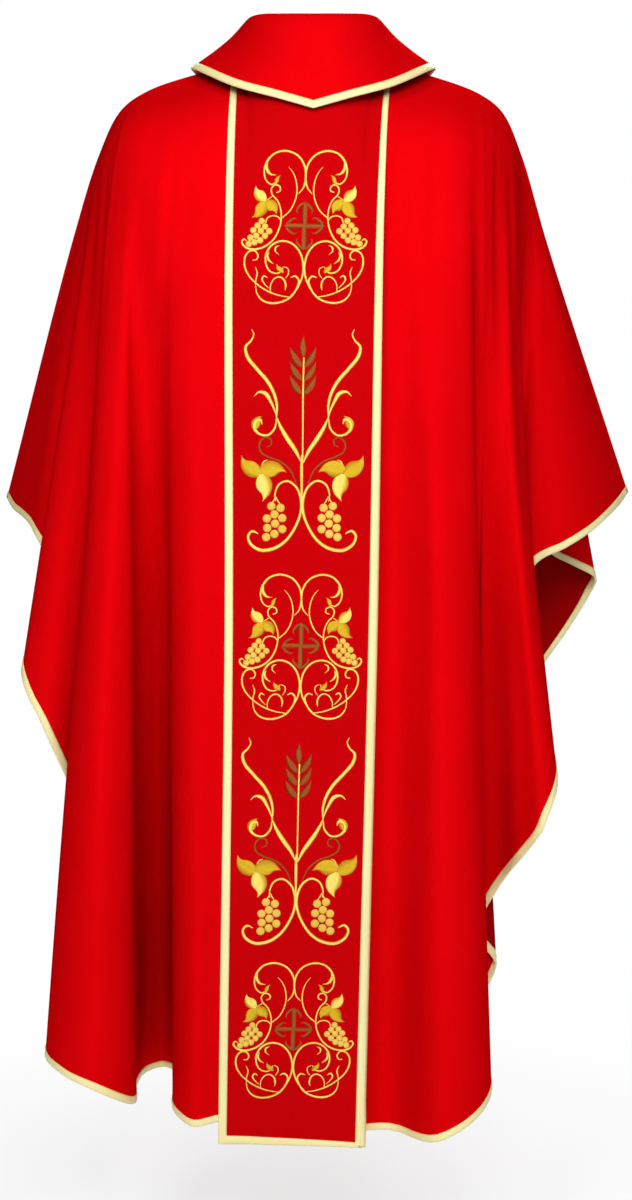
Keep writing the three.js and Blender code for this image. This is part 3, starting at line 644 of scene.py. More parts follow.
def tape_rows(grid, normals, around=False):
    """Rows of points and normals on a cloth, from its lower edge one tape's width up."""
    edge, normal = grid[:, -1], smooth_along(normals[:, -1], 2, around)
    along = (np.roll(edge, -1, 0) - np.roll(edge, 1, 0)) if around else np.gradient(edge, axis=0)
    inward = np.cross(normal, along)
    inward /= np.linalg.norm(inward, axis=1, keepdims=True)
    inward *= np.sign(((grid[:, -2] - edge) * inward).sum(1, keepdims=True).mean())
    tree = surface_tree(np.concatenate([grid, grid[:1]]) if around else grid)
    points, facings = [edge], [normal]
    for k in range(1, TAPE_ROWS):
        reach = edge + inward * TAPE_WIDTH * k / (TAPE_ROWS - 1)
        found = [tree.find_nearest(p) for p in reach.tolist()]
        points.append(np.array([f[0] for f in found]))
        faced = np.array([f[1] for f in found])
        faced *= np.where((faced * normal).sum(1, keepdims=True) < 0, -1, 1)
        facings.append(smooth_along(faced, 2, around))
    facings = [f / np.linalg.norm(f, axis=1, keepdims=True) for f in facings]
    return np.array(points), np.array(facings), -inward


def tape_over(name, points, normals, out, under, around=False):
    """The tape folded over an edge that points along out, round a wall of half thickness under."""
    last = len(points) - 1
    puffs = [TAPE_STAND + TAPE_SWELL * math.sin(math.pi * k / last) for k in range(last)]
    puffs.append(TAPE_RIM)
    section = [points[k] + normals[k] * (under + puffs[k]) for k in range(last, -1, -1)]
    for past, height in ((0.75, 0.75), (1.0, 0.0), (0.75, -0.75)):
        section.append(points[0] + out * past + normals[0] * under * height)
    section += [points[k] - normals[k] * (under + puffs[k]) for k in range(last + 1)]
    inner = under + TAPE_SLACK
    section.append(points[last] - normals[last] * inner)
    section.append(points[0] - normals[0] * inner + out * 0.3)
    section.append(points[0] + normals[0] * inner + out * 0.3)
    section.append(points[last] + normals[last] * inner)
    return sweep(name, np.array(section).transpose(1, 0, 2), tape_satin, around)


def sweep(name, sections, material, around=False):
    """A closed solid through sections of points in millimetres."""
    count, size = sections.shape[:2]
    s, k = np.meshgrid(np.arange(count if around else count - 1), np.arange(size), indexing="ij")
    here, there, n = s * size, (s + 1) % count * size, (k + 1) % size
    faces = np.stack([here + k, there + k, there + n, here + n], -1).reshape(-1, 4).tolist()
    if not around:
        faces += [list(range(size))[::-1], [(count - 1) * size + i for i in range(size)]]
    made = new_mesh(name, sections.reshape(-1, 3) * MM, faces, material)
    shape = bmesh.new()
    shape.from_mesh(made.data)
    bmesh.ops.recalc_face_normals(shape, faces=shape.faces)
    shape.to_mesh(made.data)
    shape.free()
    return made


def instancer():
    """Stitches in a row: one small thread on each point, turned along the row."""
    group = bpy.data.node_groups.new("stitch row", "GeometryNodeTree")
    for name, kind, value in (
        ("Points", "Geometry", None), ("Length", "Float", 0.0025), ("Width", "Float", 0.0005),
        ("Height", "Float", 0.0004), ("Rings", "Int", 4), ("Segments", "Int", 6),
        ("Thread", "Material", None),
    ):
        socket = group.interface.new_socket(name, in_out="INPUT", socket_type="NodeSocket" + kind)
        if value:
            socket.default_value = value
    group.interface.new_socket("Geometry", in_out="OUTPUT", socket_type="NodeSocketGeometry")
    given = add_node(group, "NodeGroupInput").outputs
    bead = add_node(
        group, "GeometryNodeMeshUVSphere",
        {"Radius": 0.5, "Rings": given["Rings"], "Segments": given["Segments"]},
    )
    size = add_node(
        group, "ShaderNodeCombineXYZ",
        {"X": given["Length"], "Y": given["Width"], "Z": given["Height"]},
    )
    shaped = add_node(
        group, "GeometryNodeTransform",
        {"Geometry": bead.outputs["Mesh"], "Scale": size.outputs[0]},
    )
    turn = (0, 0, 0)
    for name, axis, pivot in (("out", "Z", "AUTO"), ("along", "X", "Z")):
        vector = add_node(
            group, "GeometryNodeInputNamedAttribute", {"Name": name}, data_type="FLOAT_VECTOR"
        )
        align = add_node(
            group, "FunctionNodeAlignRotationToVector",
            {"Vector": vector.outputs["Attribute"], "Rotation": turn},
            axis=axis, pivot_axis=pivot,
        )
        turn = align.outputs["Rotation"]
    place = add_node(
        group, "GeometryNodeInstanceOnPoints",
        {"Points": given["Points"], "Instance": shaped.outputs["Geometry"], "Rotation": turn},
    )
    real = add_node(
        group, "GeometryNodeRealizeInstances", {"Geometry": place.outputs["Instances"]}
    )
    coated = add_node(
        group, "GeometryNodeSetMaterial",
        {"Geometry": real.outputs["Geometry"], "Material": given["Thread"]},
    )
    smooth = add_node(
        group, "GeometryNodeSetShadeSmooth", {"Geometry": coated.outputs["Geometry"]}
    )
    add_node(group, "NodeGroupOutput", {"Geometry": smooth.outputs["Geometry"]})
    return group


STITCHES = instancer()


def set_on_points(name, points, along, out, sizes, thread, rings=4, segments=6):
    """Runs the stitch row on points in millimetres and keeps the result as a plain mesh."""
    holder = new_mesh(name + "_points", np.asarray(points) * MM, [])
    for label, vectors in (("along", along), ("out", out)):
        layer = holder.data.attributes.new(label, "FLOAT_VECTOR", "POINT")
        layer.data.foreach_set("vector", np.asarray(vectors, float).ravel())
    work = holder.modifiers.new("stitches", "NODES")
    work.node_group = STITCHES
    sockets = {i.name: i.identifier for i in STITCHES.interface.items_tree if i.in_out == "INPUT"}
    for label, value in zip(("Length", "Width", "Height"), sizes):
        work[sockets[label]] = value * MM
    work[sockets["Rings"]], work[sockets["Segments"]] = rings, segments
    work[sockets["Thread"]] = thread
    ready = holder.evaluated_get(bpy.context.evaluated_depsgraph_get())
    made = bpy.data.objects.new(name, bpy.data.meshes.new_from_object(ready))
    scene.collection.objects.link(made)
    bpy.data.objects.remove(holder)
    return made


def stitch_row(name, line, normals, lift, thread, around=False):
    """Stitches along a line of points in millimetres, lying lift above it."""
    if around:
        line, normals = (np.concatenate([a, a[:1]]) for a in (line, normals))
    run = length_along(line)
    at = np.arange(STITCH_PITCH / 2, run[-1], STITCH_PITCH)
    sample = lambda values: np.stack([np.interp(at, run, values[:, i]) for i in range(3)], 1)
    points, facing = sample(line), sample(normals)
    along = sample(np.gradient(line, axis=0))
    return set_on_points(name, points + facing * lift, along, facing, STITCH_SIZE, thread)


tape_thread, _, _ = shader(
    "gold_sewing_thread", SEWING_GOLD, roughness=0.45, specular=0.4, tint=TAPE_GLOSS
)


def bind(name, points, normals, out, under, node, around=False):
    """The tape with its row of stitches on either face, in place of the CAD's binding."""
    tape = tape_over(name, points, normals, out, under, around)
    line = points[-1] * STITCH_PLACE + points[-2] * (1 - STITCH_PLACE)
    lift = under + STITCH_LIFT
    rows = [stitch_row(name + label, line, normals[-1] * side, lift, tape_thread, around)
            for label, side in (("_stitches", 1), ("_rear_stitches", -1))]
    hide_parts(node)
    for piece in (tape, *rows):
        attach(piece, "root")
    return [tape, *rows]


CLASP = CLOTH_OUT + 0.1
back_hem = bind("back_hem_tape", *tape_rows(back, back_normals), CLASP, "back_hem_binding")
front_hem = bind("front_hem_tape", *tape_rows(front, front_normals), CLASP, "front_hem_binding")

# ==== Collar ===================================================================================
# A turned-down collar of the same crepe over a firm interlining: a low stand sewn inside the neck,
# a soft roll at the top, and a fall that spreads over the shoulders to a blunt point behind.
# foot x y z, fold x y z, edge x y z, swell: how far the fall stands off its chord
COLLAR_ROWS = [
    (0, -70, -12, 0, -84, 45, 0, -123, -68, 4),
    (27, -64, -12, 34, -78, 46, 41, -118, -56, 3),
    (50, -47, -11, 64, -54, 49, 93, -92, -39, 0),
    (66, -14, -10, 80, -10, 48, 145, -18, -9, -2),
    (66, 24, -14, 80, 30, 41, 142, 34, -12, -1),
    (50, 58, -34, 62, 66, 19, 104, 98, -64, 2),
    (27, 73, -58, 32, 87, -4, 54, 118, -118, 3),
    (0, 81, -68, 0, 93, -12, 0, 124, -152, 3),
]
COLLAR_ROLL = 4.0
COLLAR_FALL = ((0.33, 1.0), (0.63, 0.8))  # places on the fall, and their shares of its swell
COLLAR_STEPS, COLLAR_LEVELS = 84, 56  # round each half, and from foot to edge
COLLAR_HALF_WALL = 0.9


def collar_line(foot, fold, edge, swell):
    """One line of the collar from the foot of its stand over the roll to its lower edge."""
    out = np.array((edge[0] - foot[0], edge[1] - foot[1], 0.0))
    out /= np.linalg.norm(out)
    chord = edge - fold
    rise = out - chord * (out @ chord) / (chord @ chord)
    rise /= np.linalg.norm(rise)
    down = np.array((0, 0, -COLLAR_ROLL))
    knots = [foot, (foot + fold) / 2, fold - out * COLLAR_ROLL + down, fold,
             fold + out * COLLAR_ROLL + down * 0.8,
             *(fold + chord * share + rise * swell * high for share, high in COLLAR_FALL),
             edge - chord * TAPE_WIDTH / np.linalg.norm(chord), edge]
    return spline(knots, np.linspace(0, len(knots) - 1, COLLAR_LEVELS + 1))


rows = np.array(COLLAR_ROWS, float)
half = spline(rows, np.linspace(0, len(rows) - 1, COLLAR_STEPS + 1))
half = np.array([collar_line(r[0:3], r[3:6], r[6:9], r[9]) for r in half])
collar = np.concatenate([half, half[-2:0:-1] * np.array((-1, 1, 1))])
wrapped = np.concatenate([collar[-2:], collar, collar[:2]])
collar_normals = -grid_normals(wrapped, -1)[2:-2]
collar_normals *= np.sign((collar_normals[0, -1] * np.array((0, -1, 0))).sum())
collar_cloth = shell("collar_cloth", collar, collar_normals, COLLAR_HALF_WALL, COLLAR_HALF_WALL,
                     crepe, around=True)
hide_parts("collar")
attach(collar_cloth, "root")
collar_edge = bind("collar_tape", *tape_rows(collar, collar_normals, True), COLLAR_HALF_WALL + 0.1,
                   "collar_binding", around=True)

# ==== Band down the back =======================================================================
# The orphrey: a strip of darker, duller red cloth with a fine twill, laid on the back from the
# neck to a little below the hem and bound with the same gold tape.
BAND_RED = (0.42, 0.0007, 0.0022)
BAND_HALF_WALL = 0.5
BAND_LIFT, BAND_LIFT_AT_HEM = 1.9, 3.0  # its middle over the panel's middle
BAND_DROP = (28, 16)  # how far it hangs below the hem, left and right
BAND_RISE = (45, 35)  # how far above the hem it begins to lift, and over what length
TAIL_ROWS = 5  # levels of the grid below the hem
BAND_TAPE_ENDS = (2, 0.5)  # how far its tape keeps from its upper end and its foot
BAND_TAPE_STEPS = (260, 40)  # down a side and across the foot

band_twill, band_surface, band_tree = shader(
    "dull_red_twill", BAND_RED, roughness=0.8, specular=0.0, tint=CREPE_SHINE
)
add_grain(
    band_tree, band_surface, pebble=0.0008, thread=0.0007, mix=0.6, depth=0.00018,
    tones=two_tones(BAND_RED, 0.84, 1.14),
)

inside = (back_places >= BAND_EDGES[0] - 1e-6) & (back_places <= BAND_EDGES[1] + 1e-6)
under_band, band_normals = back[inside], back_normals[inside]
fall = under_band[:, -1] - under_band[:, -2]
fall /= np.linalg.norm(fall, axis=1, keepdims=True)
drops = np.linspace(*BAND_DROP, len(under_band))[:, None]
shares = np.arange(1, TAIL_ROWS + 1) / TAIL_ROWS
tail = np.stack([under_band[:, -1] + fall * drops * s for s in shares], 1)
tail_normals = np.repeat(band_normals[:, -1:], TAIL_ROWS, axis=1)
under_band = np.concatenate([under_band, tail], 1)
band_normals = np.concatenate([band_normals, tail_normals], 1)
falls = run_lengths(under_band, 1).mean(0)
near_hem = np.clip((falls - (falls[-TAIL_ROWS - 1] - BAND_RISE[0])) / BAND_RISE[1], 0, 1)
lifts = BAND_LIFT + (BAND_LIFT_AT_HEM - BAND_LIFT) * (near_hem**2 * (3 - 2 * near_hem))
band = under_band + band_normals * lifts[None, :, None]
band_cloth = shell("back_band_cloth", band, band_normals, BAND_HALF_WALL, BAND_HALF_WALL,
                   band_twill)
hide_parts("back_band")
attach(band_cloth, "root")

middle = len(band) // 2
BAND_WIDTHS = run_lengths(band, 0)[-1]
BAND_FALLS = run_lengths(band, 1)[middle]
BAND_SHARES = run_lengths(band, 0).mean(1)
BAND_SHARES = BAND_SHARES / BAND_SHARES[-1] - 0.5


def on_band(x, drop, height=0.0):
    """Points and normals on the band: x from its centre line, drop down it, height over it."""
    x, drop, height = np.broadcast_arrays(*(np.asarray(v, float) for v in (x, drop, height)))
    level = np.interp(drop, BAND_FALLS, np.arange(len(BAND_FALLS)))
    width = np.interp(drop, BAND_FALLS, BAND_WIDTHS)
    column = np.interp(x / width, BAND_SHARES, np.arange(len(band)))
    c = np.minimum(column.astype(int), len(band) - 2)
    l = np.minimum(level.astype(int), band.shape[1] - 2)
    s, t = (column - c)[..., None], (level - l)[..., None]
    mix = lambda g: ((g[c, l] * (1 - s) + g[c + 1, l] * s) * (1 - t)
                     + (g[c, l + 1] * (1 - s) + g[c + 1, l + 1] * s) * t)
    normal = mix(band_normals)
    normal /= np.linalg.norm(normal, axis=-1, keepdims=True)
    return mix(band) + normal * (BAND_HALF_WALL + height[..., None]), normal


def level_on_band(x, up, height=0.0):
    """The same, but level and upright in the garment's frame: x from the line halfway between the
    band's edges, up the height in that frame."""
    up = np.asarray(up, float)
    sides = [np.interp(-up, -band[c, :, 2], band[c, :, 0]) for c in (0, -1)]
    target = x + (sides[0] + sides[1]) / 2
    drop, x = np.broadcast_arrays(-up + BAND_FALLS[-1] + band[middle, -1, 2], x)
    for _ in range(8):  # each round comes nearer to the place asked for
        found, _ = on_band(x, drop)
        x, drop = x + target - found[..., 0], drop + found[..., 2] - up
    return on_band(x, drop, height)


# Its tape runs down the left side, across the foot with mitred corners, and up the right side.
tape_top, tape_foot = BAND_TAPE_ENDS[0], BAND_FALLS[-1] - BAND_TAPE_ENDS[1]
side_drops = np.linspace(tape_top, tape_foot, BAND_TAPE_STEPS[0])
foot_places = np.linspace(-0.5, 0.5, BAND_TAPE_STEPS[1])[1:-1]
half_at = lambda drop: np.interp(drop, BAND_FALLS, BAND_WIDTHS) / 2
tape_lines, tape_facings = [], []
for k in range(TAPE_ROWS):
    reach = TAPE_WIDTH * k / (TAPE_ROWS - 1)
    low = tape_foot - reach
    drops = tape_top + (side_drops - tape_top) * (low - tape_top) / (tape_foot - tape_top)
    x = np.concatenate([-(half_at(drops) - reach), foot_places * 2 * (half_at(low) - reach),
                        half_at(drops)[::-1] - reach])
    d = np.concatenate([drops, np.full(len(foot_places), low), drops[::-1]])
    line, facing = on_band(x, d, -BAND_HALF_WALL)
    tape_lines.append(line)
    tape_facings.append(facing)
tape_lines, tape_facings = np.array(tape_lines), np.array(tape_facings)
outward = tape_lines[0] - tape_lines[1]
outward /= np.linalg.norm(outward, axis=1, keepdims=True)
band_edge = bind("band_tape", tape_lines, tape_facings, outward, BAND_HALF_WALL + 0.05,
                 "back_band_binding")

# ==== Embroidery ===============================================================================
# Five figures in raised satin stitch, in turn a scrolled medallion with a cross, vine leaves and
# grapes, and a wheat ear between tall scrolls. Threads lie across each line and catch the light;
# each line also has a painted highlight on its crown and painted shade at its sides.
# tones of each thread: the first is painted shade at the sides of a line, the second painted
# highlight on its crown; the two gold tones also serve as the grapes' grain tones
GOLD_SHADE_AND_GRAIN_TONE, GOLD_HIGHLIGHT_AND_GRAIN_TONE = (0.48, 0.24, 0.006), (0.80, 0.60, 0.12)
DEEP_THREAD_SHADE, DEEP_THREAD_HIGHLIGHT = (0.40, 0.20, 0.003), (0.56, 0.36, 0.012)
BROWN_SHADE, BROWN_HIGHLIGHT = (0.12, 0.016, 0.003), (0.27, 0.055, 0.008)
THREAD = 0.42  # from one thread to the next
LINE_STEP = 0.9  # from one section of a line to the next
BLADE_STEPS = 22
BLADE_FULL = 0.40  # where a leaf is widest, as a share of its length
THREAD_GLOSS = (1.0, 0.75, 0.3)
LINE_HEIGHT, BLADE_HEIGHT, GRAPE_HEIGHT = 0.9, 1.1, 2.4
SUNK = 0.12  # how far the edges of a strip lie in the cloth
# a line's painted highlight lies to one side of its crown, as if the light fell from that side
SHADED_SIDE = 0.3  # the light tone lies this far to one side of a line's crown
MOTIFS = [("medallion", -205, 0.975), ("wheat", -461, 1.0), ("medallion", -701, 0.96),
          ("wheat", -944, 0.97), ("medallion", -1173, 0.93)]  # figure, height, upright scale
# Left half of each figure: x from the middle, y up, width
MEDALLION_LINES = {
    "upper_loop": [
        (-7.9, 38.3, 1), (-2.4, 45.5, 2), (0, 57.4, 2.6), (-2, 72.2, 2.6), (-10.3, 84, 2.6),
        (-24.1, 89.3, 2.8), (-36.9, 86.4, 2.6), (-45.3, 77.1, 3), (-48.5, 65.3, 2.4),
        (-46.1, 54.8, 2), (-39.8, 49.7, 2), (-34.3, 52.4, 1.6), (-32.3, 57.2, 0.8),
    ],
    "upper_petal": [
        (-44.6, 76.5, 0.4), (-45.7, 70.6, 3.2), (-43.8, 64.7, 3.9), (-40.2, 61.7, 2.4),
        (-34.7, 60.9, 0.4),
    ],
    "inner_curl": [
        (-26.4, 9.7, 1.6), (-17.7, 17.9, 1.8), (-11.8, 29.8, 1.8), (-9.7, 42.6, 1.8),
        (-11.8, 56.4, 1.6), (-15.4, 64.3, 1.2), (-20.1, 70.2, 0.6),
    ],
    "side_scroll": [
        (-33.9, 39.8, 1.2), (-29.6, 41.8, 1.8), (-30, 46.9, 2), (-35.5, 48.9, 2), (-39.4, 44.6, 2),
        (-38.6, 37.7, 2), (-32.3, 30.4, 2), (-28.4, 20.9, 2), (-27.2, 9.1, 2), (-29.6, -3.7, 2.2),
        (-36.3, -16.6, 2.4), (-47.7, -25.4, 2.6), (-60.5, -28, 2.8), (-69.4, -24.8, 2.8),
        (-73, -18.9, 2.4), (-70.6, -15.6, 2), (-67.4, -17.7, 1.2),
    ],
    "leaf_stem": [(-38.6, 35.1, 1), (-42.6, 32.3, 1.2), (-45.7, 30.4, 0.8)],
    "grape_stem": [
        (-28, 6.7, 1.2), (-31, 10.6, 1.8), (-37.5, 12.2, 1.8), (-43.4, 9.5, 1.8),
        (-45.7, 3.2, 1.4),
    ],
    "lower_loop": [
        (-16.2, -84.8, 1.4), (-7.9, -74.7, 2), (-2, -60.9, 2.4), (-0.8, -46.1, 2.6),
        (-5.3, -30.8, 2.6), (-14.6, -20.9, 2.6), (-26.4, -18.1, 2.6), (-37.1, -22.5, 2.6),
        (-43.8, -32.3, 2.6), (-44.6, -44.2, 2.4), (-39.8, -53.6, 2.2), (-31.9, -56.4, 2),
        (-26, -53.6, 1.6), (-24.1, -48.5, 1),
    ],
    "lower_petal": [
        (-40.6, -30.8, 0.4), (-42.6, -35.9, 2.8), (-41, -40.6, 2.8), (-35.5, -45.2, 0.4),
    ],
    "lower_petal_top": [
        (-28.8, -22.9, 0.4), (-33.1, -25.6, 2.4), (-33.5, -30, 1.8), (-29.2, -34.3, 0.4),
    ],
    "outer_scroll": [
        (-60.3, -40.6, 1.2), (-55.6, -39.8, 1.8), (-54, -34.7, 2), (-58, -29.6, 2),
        (-64.7, -30.8, 2.2), (-69, -37.5, 2.4), (-69, -48.5, 2.4), (-64.3, -59, 2.2),
        (-54.4, -69.4, 2), (-42.6, -77.3, 2), (-29.6, -82.4, 1.8), (-16.2, -84.8, 1.2),
    ],
    "base_scroll": [
        (-56.4, -71.4, 1.2), (-54.4, -80.6, 1.8), (-48.1, -88.5, 2.4), (-37.9, -91.9, 2.8),
        (-25.6, -90.3, 2.6), (-15, -84.4, 2.4), (-7.9, -73.7, 2.4), (-5.9, -64.9, 2.4),
        (-9.9, -59.9, 2.4), (-15.4, -61.5, 1.2),
    ],
    "tendril": [(-56.8, -48.9, 0.6), (-54.4, -56, 1.8), (-56, -64.9, 1.6), (-56, -71.8, 1)],
    "small_curl": [
        (-41, -74.1, 0.8), (-46.1, -68.8, 1.6), (-48.9, -63.5, 2.2), (-46.5, -59.5, 2.4),
        (-42.6, -61.5, 1),
    ],
    "heart": [
        (-39, -79.7, 1), (-38.6, -69.8, 1.6), (-33.9, -62.3, 1.8), (-27.6, -60.7, 2),
        (-22.5, -64.9, 2.4), (-20.9, -71.4, 2.4), (-21.7, -76.7, 0.6),
    ],
    "bud_stem": [(-21.3, -62.3, 0.8), (-18.1, -57.2, 1.4), (-18.5, -51.1, 1.4), (-22.9, -48.5, 1)],
}
MEDALLION_LEAVES = {
    "upper_bud": (-34.7, 49.7, -29.2, 60.3, 4.7),
    "lower_bud": (-23.6, -55.5, -31.6, -44.8, 6.0),
    "leaf_up": (-45.6, 29.8, -58, 48.2, 13.2),
    "leaf_left": (-46.6, 30, -62, 10.2, 14.6),
    "leaf_right": (-45.8, 29.2, -33, 14.2, 13.4),
}
MEDALLION_GRAPES = [
    (-50.1, 5.9), (-54.9, 0.4), (-46.1, -0.6), (-59.7, -5.1), (-51.0, -5.9), (-41.1, -6.3),
    (-56.2, -11.6), (-46.1, -11.8), (-63.0, -13.9), (-51.5, -17.1), (-58.1, -19.4), (-64.9, -21.4),
]
WHEAT_LINES = {
    "tall_scroll": [
        (-60.3, 135.8, 0.9), (-58, 129.7, 1.7), (-61, 122.6, 2.4), (-67.2, 115.5, 3.5),
        (-65.3, 104.1, 4.5), (-53.9, 89.4, 4.5), (-41.6, 75.2, 4.5), (-33.6, 60.3, 4),
        (-30.3, 46.1, 3.1), (-30.8, 33.1, 2.1),
    ],
    "tall_leaf": [
        (-30.8, 33.1, 1.4), (-25.1, 20.1, 4.3), (-17, 6.6, 5.7), (-8, -6.6, 4.7),
        (-0.9, -21.3, 1.2),
    ],
    "upper_curl": [
        (-57.3, 57.7, 0.7), (-51.6, 62.5, 2.8), (-43.5, 60.6, 5.2), (-37.4, 50.9, 3.8),
        (-32.2, 39, 2.1), (-29.8, 30.3, 1.2),
    ],
    "side_curl": [
        (-30.8, 31.7, 1.2), (-32.7, 20.1, 2.6), (-40.7, 11.8, 2.8), (-50.6, 12.8, 3.1),
        (-57.3, 20.3, 4.3), (-55.4, 28.4, 5.2), (-49.7, 29.8, 3.8), (-47.8, 24.6, 1.2),
    ],
    "main_scroll": [
        (-31.7, -66.7, 1.2), (-32.2, -57.3, 2.1), (-27.4, -46.4, 2.6), (-17.5, -42.6, 2.8),
        (-7.1, -49.7, 3.1), (-1.4, -63.9, 3.5), (-1.4, -79.3, 3.5), (-7.6, -97, 3.5),
        (-18.9, -113.6, 3.8), (-33.1, -123, 4.3), (-49.2, -124.9, 4.3), (-61, -117.4, 3.8),
        (-63.9, -107.9, 3.3), (-59.1, -102.2, 3.3), (-51.6, -105.1, 1.2),
    ],
    "grape_stem_left": [(-31.5, -61, 1.2), (-33.6, -65.8, 1.7), (-36.4, -69.6, 1.2)],
    "grape_stem_right": [(-31.2, -61, 1.2), (-28.9, -65.8, 1.7), (-25.6, -71, 1.2)],
    "leaf_stem": [(-41.2, -17.5, 0.9), (-45.4, -19.4, 1.7), (-48.7, -25.6, 1.4)],
}
WHEAT_TENDRIL = {
    "tendril": [
        (-43.1, -2.8, 0.7), (-37.4, 0.5, 2.1), (-37.9, 7.1, 2.1), (-45, 8.5, 2.4),
        (-50.6, 1.9, 2.4), (-49.2, -7.6, 2.6), (-39.3, -14.2, 2.6), (-26, -19.4, 2.6),
        (-14.2, -29.8, 2.4), (-6.2, -47.3, 0.9),
    ],
}
WHEAT_STALK = {
    "stalk": [(0.2, -21.8, 2.1), (0.2, 21.3, 2.1), (0.2, 59.1, 2.4), (0.9, 102.9, 2.1)],
    "root": [(-0.7, -11.8, 1.9), (-0.7, -26, 3.8), (-0.5, -49.7, 3.1), (-0.3, -74, 1.2)],
}
WHEAT_LEAVES = {
    "leaf_out": (-48.7, -35.1, -71.9, -12.3, 18.5),
    "leaf_in": (-51.2, -31.2, -18.9, -32.2, 20),
    "leaf_down": (-49.7, -33.5, -47.0, -66.7, 19.5),
    "curl_bulb": (-57.0, 18.0, -48.6, 34.2, 10.5),
}
WHEAT_KERNELS = {
    "top_kernel": (0.9, 103.6, 0.9, 128.8, 8.2),
    "kernel_1": (-1.4, 91.7, -15.5, 115.2, 8.4),
    "kernel_2": (-1.4, 76.1, -15.5, 98.2, 8.4),
    "kernel_3": (-1.4, 59.8, -15.5, 82.4, 8.4),
}
WHEAT_GRAPES = [
    (-36.4, -72.4), (-25.6, -74.5), (-32.7, -82.3), (-41.6, -87.1), (-23.4, -86.6), (-31.9, -93.2),
    (-41.2, -98.4), (-23.4, -99.8), (-32.7, -105.5), (-42.4, -109.3),
]
CROSS_REACH = {"up": 28.5, "across": 22.5}  # from the middle of the cross to the end of an arm
CROSS_WIDTH = 5.8
# a hook at an arm's end: how far aside, how far short of the end, width
CROSS_HOOK = [(0, 0.5, 1.6), (3.6, 2.8, 3.8), (7.0, 6.2, 3.4), (9.2, 10.5, 2.4), (8.0, 13.5, 0.6)]
GRAPE_WIDTHS = {"medallion": 7.6, "wheat": 10.2}


def thread_material(name, dark, light, roughness):
    """Satin stitch: threads across the line, with a painted highlight on its crown and painted shade
    at its sides.
    """
    made, surface, tree = shader(name, light, roughness, specular=0.35, tint=THREAD_GLOSS)
    lay = add_node(tree, "ShaderNodeUVMap", uv_map="cut").outputs["UV"]
    split = add_node(tree, "ShaderNodeSeparateXYZ", {0: lay})
    ribs = add_node(
        tree, "ShaderNodeTexWave",
        {"Vector": lay, "Scale": WAVE_SCALE / (THREAD * MM), "Distortion": 0.6},
        bands_direction="X",
    )
    # painted light: the crown of a line takes the light tone, its sides the dark one
    crown = add_node(
        tree, "ShaderNodeMapRange",
        {"Value": split.outputs["Y"], "From Min": 1.05, "From Max": 0.55},
    )
    set_surface(
        tree, surface, height=ribs.outputs["Fac"], strength=0.7, depth=0.00012,
        share=crown.outputs["Result"], tones=(dark, light),
    )
    return made


# first the painted shade, then the painted highlight of each thread
gold_thread = thread_material("light_gold_thread", GOLD_SHADE_AND_GRAIN_TONE, GOLD_HIGHLIGHT_AND_GRAIN_TONE, roughness=0.36)
deep_thread = thread_material("deep_gold_thread", DEEP_THREAD_SHADE, DEEP_THREAD_HIGHLIGHT, roughness=0.40)
brown_thread = thread_material("brown_thread", BROWN_SHADE, BROWN_HIGHLIGHT, roughness=0.50)


